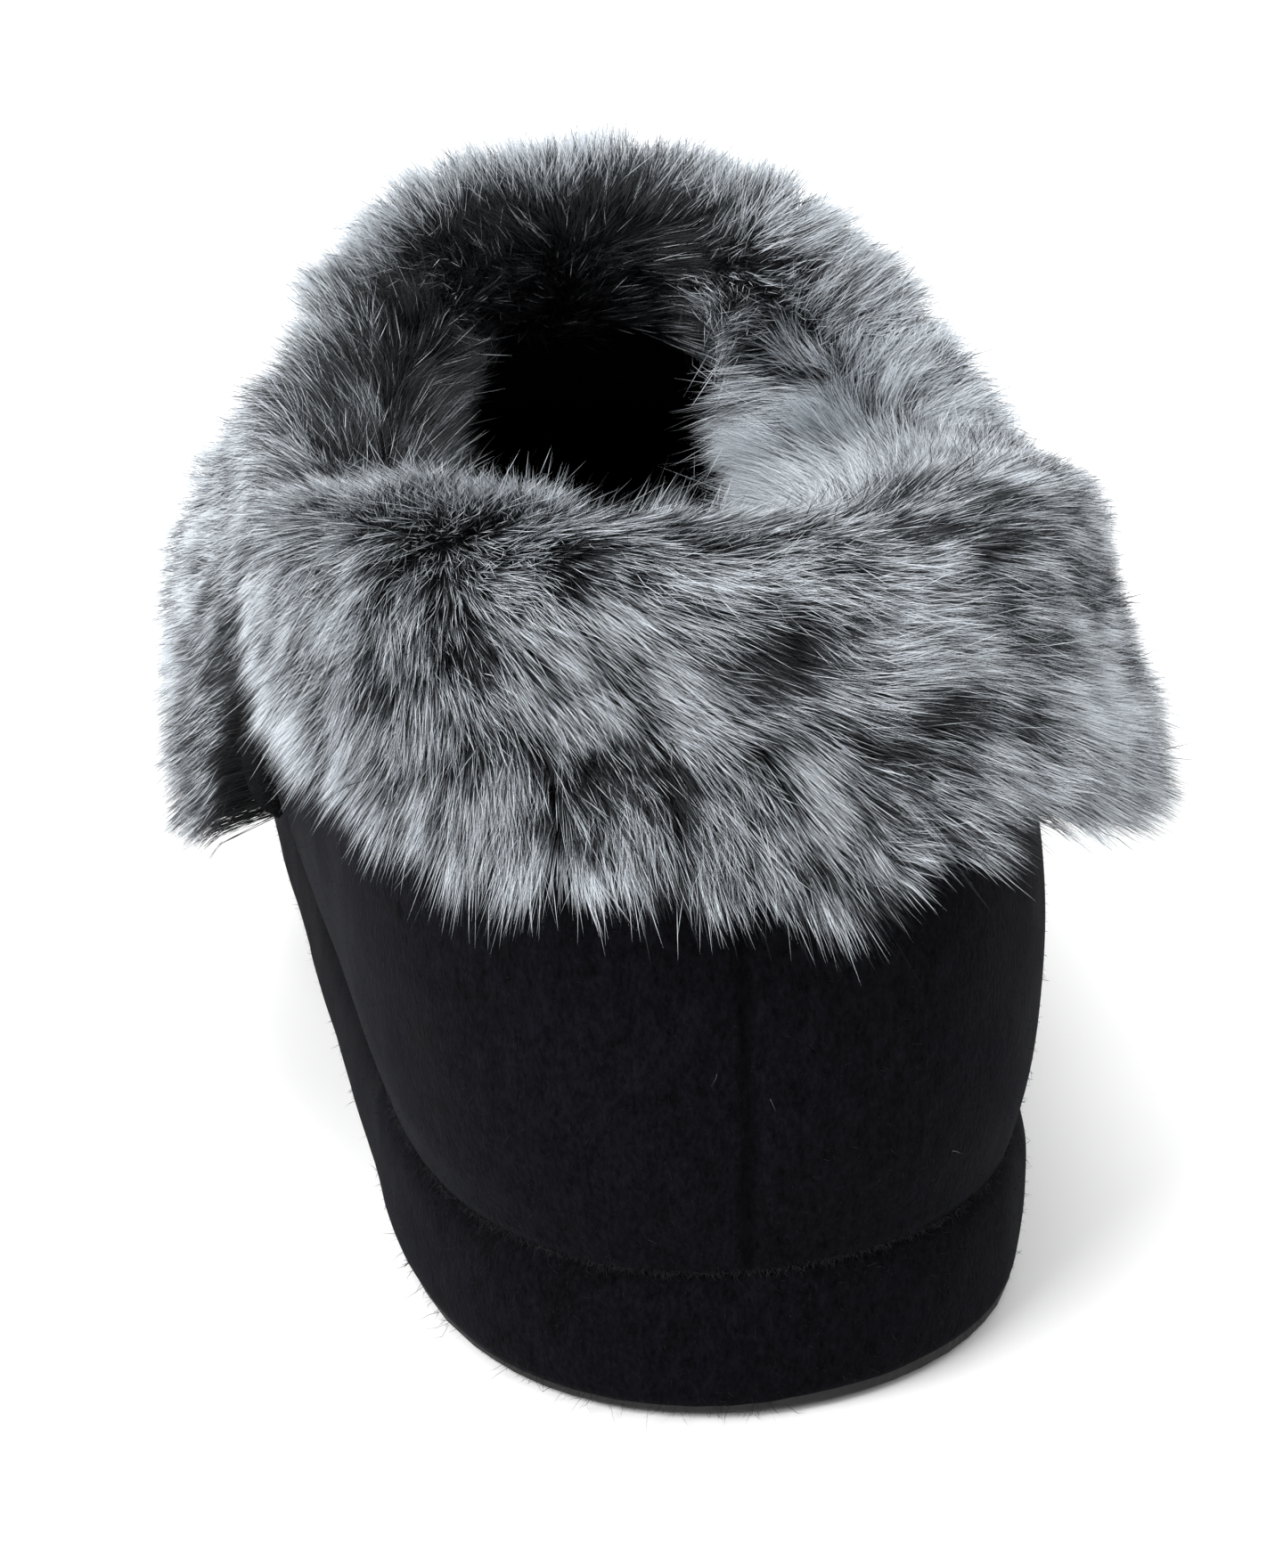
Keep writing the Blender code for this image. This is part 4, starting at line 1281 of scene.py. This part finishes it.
# Half the gap between the fur pieces at a side seam, in columns round the sole
SIDE_SEAM_GAP = 0.05


def cuff_skins():
    """The backing of both fur pieces, a hair's breadth apart at the side seams."""
    near = SEAM_COLUMN - SIDE_SEAM_GAP
    back = fur_skin(BACK_CUFF, BACK_COMB, SIDE_SEAM_GAP - SEAM_COLUMN, near, PELT_COLUMNS["back"])
    first, last = SEAM_COLUMN + SIDE_SEAM_GAP, COLUMNS - SEAM_COLUMN - SIDE_SEAM_GAP
    front = fur_skin(FRONT_CUFF, FRONT_COMB, first, last, PELT_COLUMNS["front"])
    return {"back": back, "front": front}


class SLIPPER_OT_cuff_pelts(bpy.types.Operator):
    """Lays the dense underfur of both cuff pieces over the collar"""

    bl_idname = "slipper.cuff_pelts"
    bl_label = "Cuff underfur"
    bl_options = {"REGISTER", "UNDO"}

    def execute(self, context):
        finish = underfur_material(context.scene.slipper_fur)
        for side, skin in cuff_skins().items():
            finish_piece(pelt(f"underfur_{side}", skin, PELT_THICKNESS), finish, "fur", f"cuff_{side}")
        return {"FINISHED"}


# Stretches of fur. low, high: the part of the skin's path that each one covers. share: how dense it is.
Stretch = namedtuple("Stretch", "name side low high share finish")

FUR_STRETCHES = [
    Stretch("fur_back_fall", "back", 0.52, 1.0, 1.70, "frosted_hair"),
    Stretch("fur_back_crest", "back", 0.36, 0.52, 1.35, "frosted_hair"),
    Stretch("fur_back_lining", "back", 0.0, 0.36, 0.45, "lining_hair"),
    Stretch("fur_front_fall", "front", 0.52, 1.0, 0.52, "frosted_hair"),
    Stretch("fur_front_crest", "front", 0.36, 0.52, 1.4, "lining_hair"),
    Stretch("fur_front_lining", "front", 0.0, 0.36, 1.1, "lining_hair"),
]

# How much of a hair's length is dark
DARK_SHARES = {"frosted_hair": 0.46, "lining_hair": 0.33}


class SLIPPER_OT_cuff_fur(bpy.types.Operator):
    """Grows the frosted hair of the cuff, combed and gathered to locks, with its partings"""

    bl_idname = "slipper.cuff_fur"
    bl_label = "Cuff fur"
    bl_options = {"REGISTER", "UNDO"}

    def execute(self, context):
        settings = context.scene.slipper_fur
        finishes = {name: hair_material(name, settings, share) for name, share in DARK_SHARES.items()}
        skins = cuff_skins()
        for seed, part in enumerate(FUR_STRETCHES):
            rng = np.random.default_rng(SEED + seed)
            obj = grow_fur(part.name, rng, skins[part.side], settings, part.low, part.high, part.share)
            finish_piece(obj, finishes[part.finish], "fur")
        return {"FINISHED"}


# Loose fibres: lengths in metres, and seeds counted from the slipper's own
UPPER_FUZZ_SEED = 20
BAND_FUZZ_SEED = 21
EDGE_SEED = 30
UPPER_FUZZ_SHARE = 0.62
BAND_FUZZ_SHARE = 0.38
FUZZ_TOP = 0.075
FUZZ_FACING = -0.6
FUZZ_LIMITS = (0.4, 2.4)
FUZZ_SPREAD = 0.4
FUZZ_TIP = 3.0
FRAY_COUNT = 420
FRAY_LENGTH = 0.0022
FRAY_LIMITS = (0.3, 1.8)
FRAY_MEAN = -0.2
FRAY_SPREAD = 0.5
FRAY_WAY = (1.0, 1.0, 0.3)
FRAY_HEIGHT = 0.0024
FRAY_SIDE = 0.004
FRAY_END = -0.085
EDGE_COUNT = 9000
EDGE_LENGTH = 0.0006
EDGE_LIMITS = (0.4, 2.2)
EDGE_SPREAD = 0.4
# Painted light: the edge fluff's tips are paler than the other fuzz, to lift the shadow where the upper
# meets the platform
EDGE_PAINTED_LIGHT_TIP = 3.5
EDGE_HEIGHT = 0.0016
EDGE_END = 0.0
LINT_LENGTH = 0.0017
LINT_LIMITS = (0.7, 1.2)
LINT_COLOUR = (0.11, 0.115, 0.12)
FIBRE_WIDTH = 0.00006
FIBRE_SCATTER = 0.0006
FIBRE_DEPTH = 0.0002
FIBRE_LEAN = 0.7
FIBRE_CURL = 0.3
LOWEST_FIBRE = 0.0001

# Places on the upper with a pale fibre of lint
LINT = [(-2.9, -131.4, 43.2), (1.1, -131.7, 39.0), (22.5, -122.2, 26.5)]

Surface = namedtuple("Surface", "points normals outside")


def dressed_surface(name):
    """The points of a finished piece, their normals, and which of them are on its outside."""
    base = bpy.data.objects[name]
    points, normals = mesh_points(base), mesh_normals(base)
    return Surface(points, normals, (points[:, :2] * normals[:, :2]).sum(axis=1) > 0.0)


def fibres(name, rng, points, normals, length, droop):
    """Short curled fibres that stand out of a surface."""
    count = len(points)
    scatter = rng.normal(0.0, FIBRE_SCATTER, (count, 3)) * (1.0 - np.abs(normals))
    start = points + scatter - normals * FIBRE_DEPTH
    lean = normals + rng.normal(0.0, FIBRE_LEAN, (count, 3)) + np.array((0.0, 0.0, droop))
    lean /= np.linalg.norm(lean, axis=1, keepdims=True)
    curl = rng.normal(0.0, FIBRE_CURL, (count, 3))
    t = HAIR_STATIONS[None, :, None]
    lines = start[:, None] + (lean[:, None] * t + curl[:, None] * t * t) * length[:, None, None]
    lines[..., 2] = np.maximum(lines[..., 2], LOWEST_FIBRE)
    faces_to = rng.normal(0.0, 1.0, (count, 3))
    return strand_mesh(name, lines, faces_to, np.full(count, FIBRE_WIDTH), rng.random(count))


class SLIPPER_OT_loose_fibres(bpy.types.Operator):
    """Adds the suede's fuzz, the upper's fluffy edge and lint, and the frayed edge of the wrap"""

    bl_idname = "slipper.loose_fibres"
    bl_label = "Loose fibres"
    bl_options = {"REGISTER", "UNDO"}

    def execute(self, context):
        settings = context.scene.slipper_suede
        colour = tuple(settings.colour)
        finish = fibre_material("suede_fibres", colour, tuple(FUZZ_TIP * c for c in colour))
        upper, band = dressed_surface("suede_upper"), dressed_surface("platform_band")
        rng = np.random.default_rng(SEED + UPPER_FUZZ_SEED)
        finish_piece(self.fuzz("upper_fuzz", rng, upper, settings, UPPER_FUZZ_SHARE), finish, "upper_suede")
        rng = np.random.default_rng(SEED + EDGE_SEED)
        # Paler tips on the edge fluff: painted light over the shadow of the join
        edge_finish = fibre_material("edge_fibres", colour, tuple(EDGE_PAINTED_LIGHT_TIP * c for c in colour))
        finish_piece(self.upper_edge(rng, upper), edge_finish, "upper_suede")
        lint_finish = fibre_material("lint_fibres", LINT_COLOUR, LINT_COLOUR)
        finish_piece(self.lint(rng, upper), lint_finish, "upper_suede")
        rng = np.random.default_rng(SEED + BAND_FUZZ_SEED)
        finish_piece(self.fuzz("band_fuzz", rng, band, settings, BAND_FUZZ_SHARE), finish, "band_suede")
        finish_piece(self.frayed_edge(rng, band), finish, "band_suede")
        return {"FINISHED"}

    def fuzz(self, name, rng, surface, settings, share):
        """Fine fibres all over the suede that can be seen."""
        points, normals, outside = surface
        showing = outside & (normals[:, 2] > FUZZ_FACING) & (points[:, 2] < FUZZ_TOP)
        places = rng.choice(np.flatnonzero(showing), int(settings.fuzz_count * share))
        length = settings.fuzz_length * np.clip(rng.lognormal(0.0, FUZZ_SPREAD, len(places)), *FUZZ_LIMITS)
        return fibres(name, rng, points[places], normals[places], length, droop=-0.35)

    def upper_edge(self, rng, surface):
        """Fluff where the upper stands on the platform, its tips paler than the other fuzz as painted light
        over the shadow of the join.
        """
        points, normals, outside = surface
        stations = points[:, 1] / MM + SOLE_LENGTH / 2
        over = points[:, 2] - np.array([band_top(station) for station in stations]) * MM
        edge = outside & (np.abs(over) < EDGE_HEIGHT) & (points[:, 1] < EDGE_END)
        places = rng.choice(np.flatnonzero(edge), EDGE_COUNT)
        length = EDGE_LENGTH * np.clip(rng.lognormal(0.0, EDGE_SPREAD, EDGE_COUNT), *EDGE_LIMITS)
        return fibres("upper_edge_fluff", rng, points[places], normals[places], length, droop=-0.2)

    def lint(self, rng, surface):
        """A few pale fibres on the upper."""
        points, normals, _ = surface
        places = [int(np.linalg.norm(points - np.array(place) * MM, axis=1).argmin()) for place in LINT]
        length = LINT_LENGTH * rng.uniform(*LINT_LIMITS, len(LINT))
        return fibres("lint", rng, points[places], normals[places], length, droop=-0.6)

    def frayed_edge(self, rng, surface):
        """Longer fibres at the wrap's lower edge, under the outer side of the heel."""
        points, normals, outside = surface
        low = points[:, 2] < points[:, 2].min() + FRAY_HEIGHT
        frayed = outside & low & (points[:, 0] < FRAY_SIDE) & (points[:, 1] < FRAY_END)
        places = rng.choice(np.flatnonzero(frayed), FRAY_COUNT)
        length = FRAY_LENGTH * np.clip(rng.lognormal(FRAY_MEAN, FRAY_SPREAD, FRAY_COUNT), *FRAY_LIMITS)
        out = normals[places] * FRAY_WAY
        return fibres("frayed_edge", rng, points[places], out, length, droop=-0.25)


# The studio, in metres and degrees
FLOOR_SIZE = 8.0
FLOOR_DROP = 0.0003
KEY_PLACE = (-0.95, -0.75, 0.95)
KEY_SIZE = 0.9
TOP_PLACE = (0.05, 0.50, 1.20)
TOP_SIZE = 1.2
LIGHT_AIM = (0.0, -0.05, 0.05)
CAMERA_AIM = (-0.0035, -0.0710, 0.0505)
CAMERA_DISTANCE = 0.4549
CAMERA_YAW = 6.19
CAMERA_PITCH = 21.2
CAMERA_ROLL = -1.39
SENSOR_WIDTH = 36.0


class SLIPPER_OT_stage(bpy.types.Operator):
    """Sets the pale floor, the soft boxes and the camera behind the heel"""

    bl_idname = "slipper.stage"
    bl_label = "Studio"
    bl_options = {"REGISTER", "UNDO"}

    def execute(self, context):
        settings = context.scene.slipper_stage
        scene = context.scene
        bpy.ops.object.select_all(action="DESELECT")
        bpy.ops.mesh.primitive_plane_add(size=FLOOR_SIZE, location=(0.0, 0.0, -FLOOR_DROP))
        floor = bpy.context.active_object
        floor.name = "studio_floor"
        made, tree, shader, place = new_material("studio_paper", 0.95, Specular_IOR_Level=0.0)
        uneven = ease(tree, cloud(tree, place, 3.0, detail=2.0), 0.2, 0.8, to_low=0.995, to_high=1.005)
        pale = tinted(tree, (*settings.floor_colour, 1.0), uneven)
        tree.links.new(pale, shader.inputs["Base Color"])
        floor.data.materials.append(made)
        world = bpy.data.worlds.new("studio")
        world.use_nodes = True
        sky = world.node_tree.nodes["Background"]
        sky.inputs["Color"].default_value = (1.0, 1.0, 1.0, 1.0)
        sky.inputs["Strength"].default_value = settings.sky_strength
        scene.world = world
        self.soft_box("key_light", KEY_PLACE, settings.key_power, KEY_SIZE)
        self.soft_box("top_light", TOP_PLACE, settings.top_power, TOP_SIZE)
        scene.view_settings.view_transform = "Standard"
        scene.view_settings.look = "None"
        self.camera(scene, settings.lens)
        return {"FINISHED"}

    def soft_box(self, name, place, power, size):
        """A square soft light that looks at the slipper."""
        bpy.ops.object.light_add(type="AREA", location=place)
        light = bpy.context.active_object
        light.name = name
        light.data.energy = power
        light.data.size = size
        aim = Vector(LIGHT_AIM) - Vector(place)
        light.rotation_mode = "QUATERNION"
        light.rotation_quaternion = aim.to_track_quat("-Z", "Y")

    def camera(self, scene, lens):
        """The camera of the photograph: behind the heel, a little to its outer side, looking down at it."""
        yaw, pitch, roll = map(math.radians, (CAMERA_YAW, CAMERA_PITCH, CAMERA_ROLL))
        ahead = Vector((math.sin(yaw) * math.cos(pitch), math.cos(yaw) * math.cos(pitch), -math.sin(pitch)))
        level = Vector((math.cos(yaw), -math.sin(yaw), 0.0))
        above = level.cross(ahead)
        right = level * math.cos(roll) + above * math.sin(roll)
        up = above * math.cos(roll) - level * math.sin(roll)
        place = Vector(CAMERA_AIM) - ahead * CAMERA_DISTANCE
        bpy.ops.object.camera_add(location=place)
        camera = bpy.context.active_object
        camera.name = "camera"
        camera.matrix_world = Matrix.Translation(place) @ Matrix((right, up, -ahead)).transposed().to_4x4()
        camera.data.sensor_fit = "AUTO"
        camera.data.sensor_width = SENSOR_WIDTH
        camera.data.lens = lens
        camera.data.clip_start = 0.01
        scene.camera = camera


OPERATORS = (
    SLIPPER_OT_outsole, SLIPPER_OT_midsole_band, SLIPPER_OT_insole, SLIPPER_OT_upper, SLIPPER_OT_cuff_pelts,
    SLIPPER_OT_cuff_fur, SLIPPER_OT_loose_fibres, SLIPPER_OT_stage,
)


class SLIPPER_PT_pieces(bpy.types.Panel):
    """Lists the slipper's pieces and their settings"""

    bl_idname = "SLIPPER_PT_pieces"
    bl_label = "Slipper"
    bl_space_type = "VIEW_3D"
    bl_region_type = "UI"
    bl_category = "Slipper"

    def draw(self, context):
        for operator in OPERATORS:
            self.layout.operator(operator.bl_idname)
        for name, _ in SETTINGS:
            group = getattr(context.scene, name)
            for value in group.bl_rna.properties:
                if value.identifier not in ("rna_type", "name"):
                    self.layout.prop(group, value.identifier)


SETTINGS = (
    ("slipper_suede", SuedeSettings), ("slipper_fur", FurSettings), ("slipper_sole", SoleSettings),
    ("slipper_stage", StageSettings),
)


def register():
    for name, settings in SETTINGS:
        bpy.utils.register_class(settings)
        setattr(bpy.types.Scene, name, bpy.props.PointerProperty(type=settings))
    for operator in OPERATORS:
        bpy.utils.register_class(operator)
    bpy.utils.register_class(SLIPPER_PT_pieces)


def unregister():
    bpy.utils.unregister_class(SLIPPER_PT_pieces)
    for operator in reversed(OPERATORS):
        bpy.utils.unregister_class(operator)
    for name, settings in reversed(SETTINGS):
        delattr(bpy.types.Scene, name)
        bpy.utils.unregister_class(settings)


def main():
    register()
    bpy.ops.slipper.outsole()
    bpy.ops.slipper.midsole_band()
    bpy.ops.slipper.insole()
    bpy.ops.slipper.upper()
    bpy.ops.slipper.cuff_pelts()
    bpy.ops.slipper.cuff_fur()
    bpy.ops.slipper.loose_fibres()
    bpy.ops.slipper.stage()


if __name__ == "__main__":
    main()
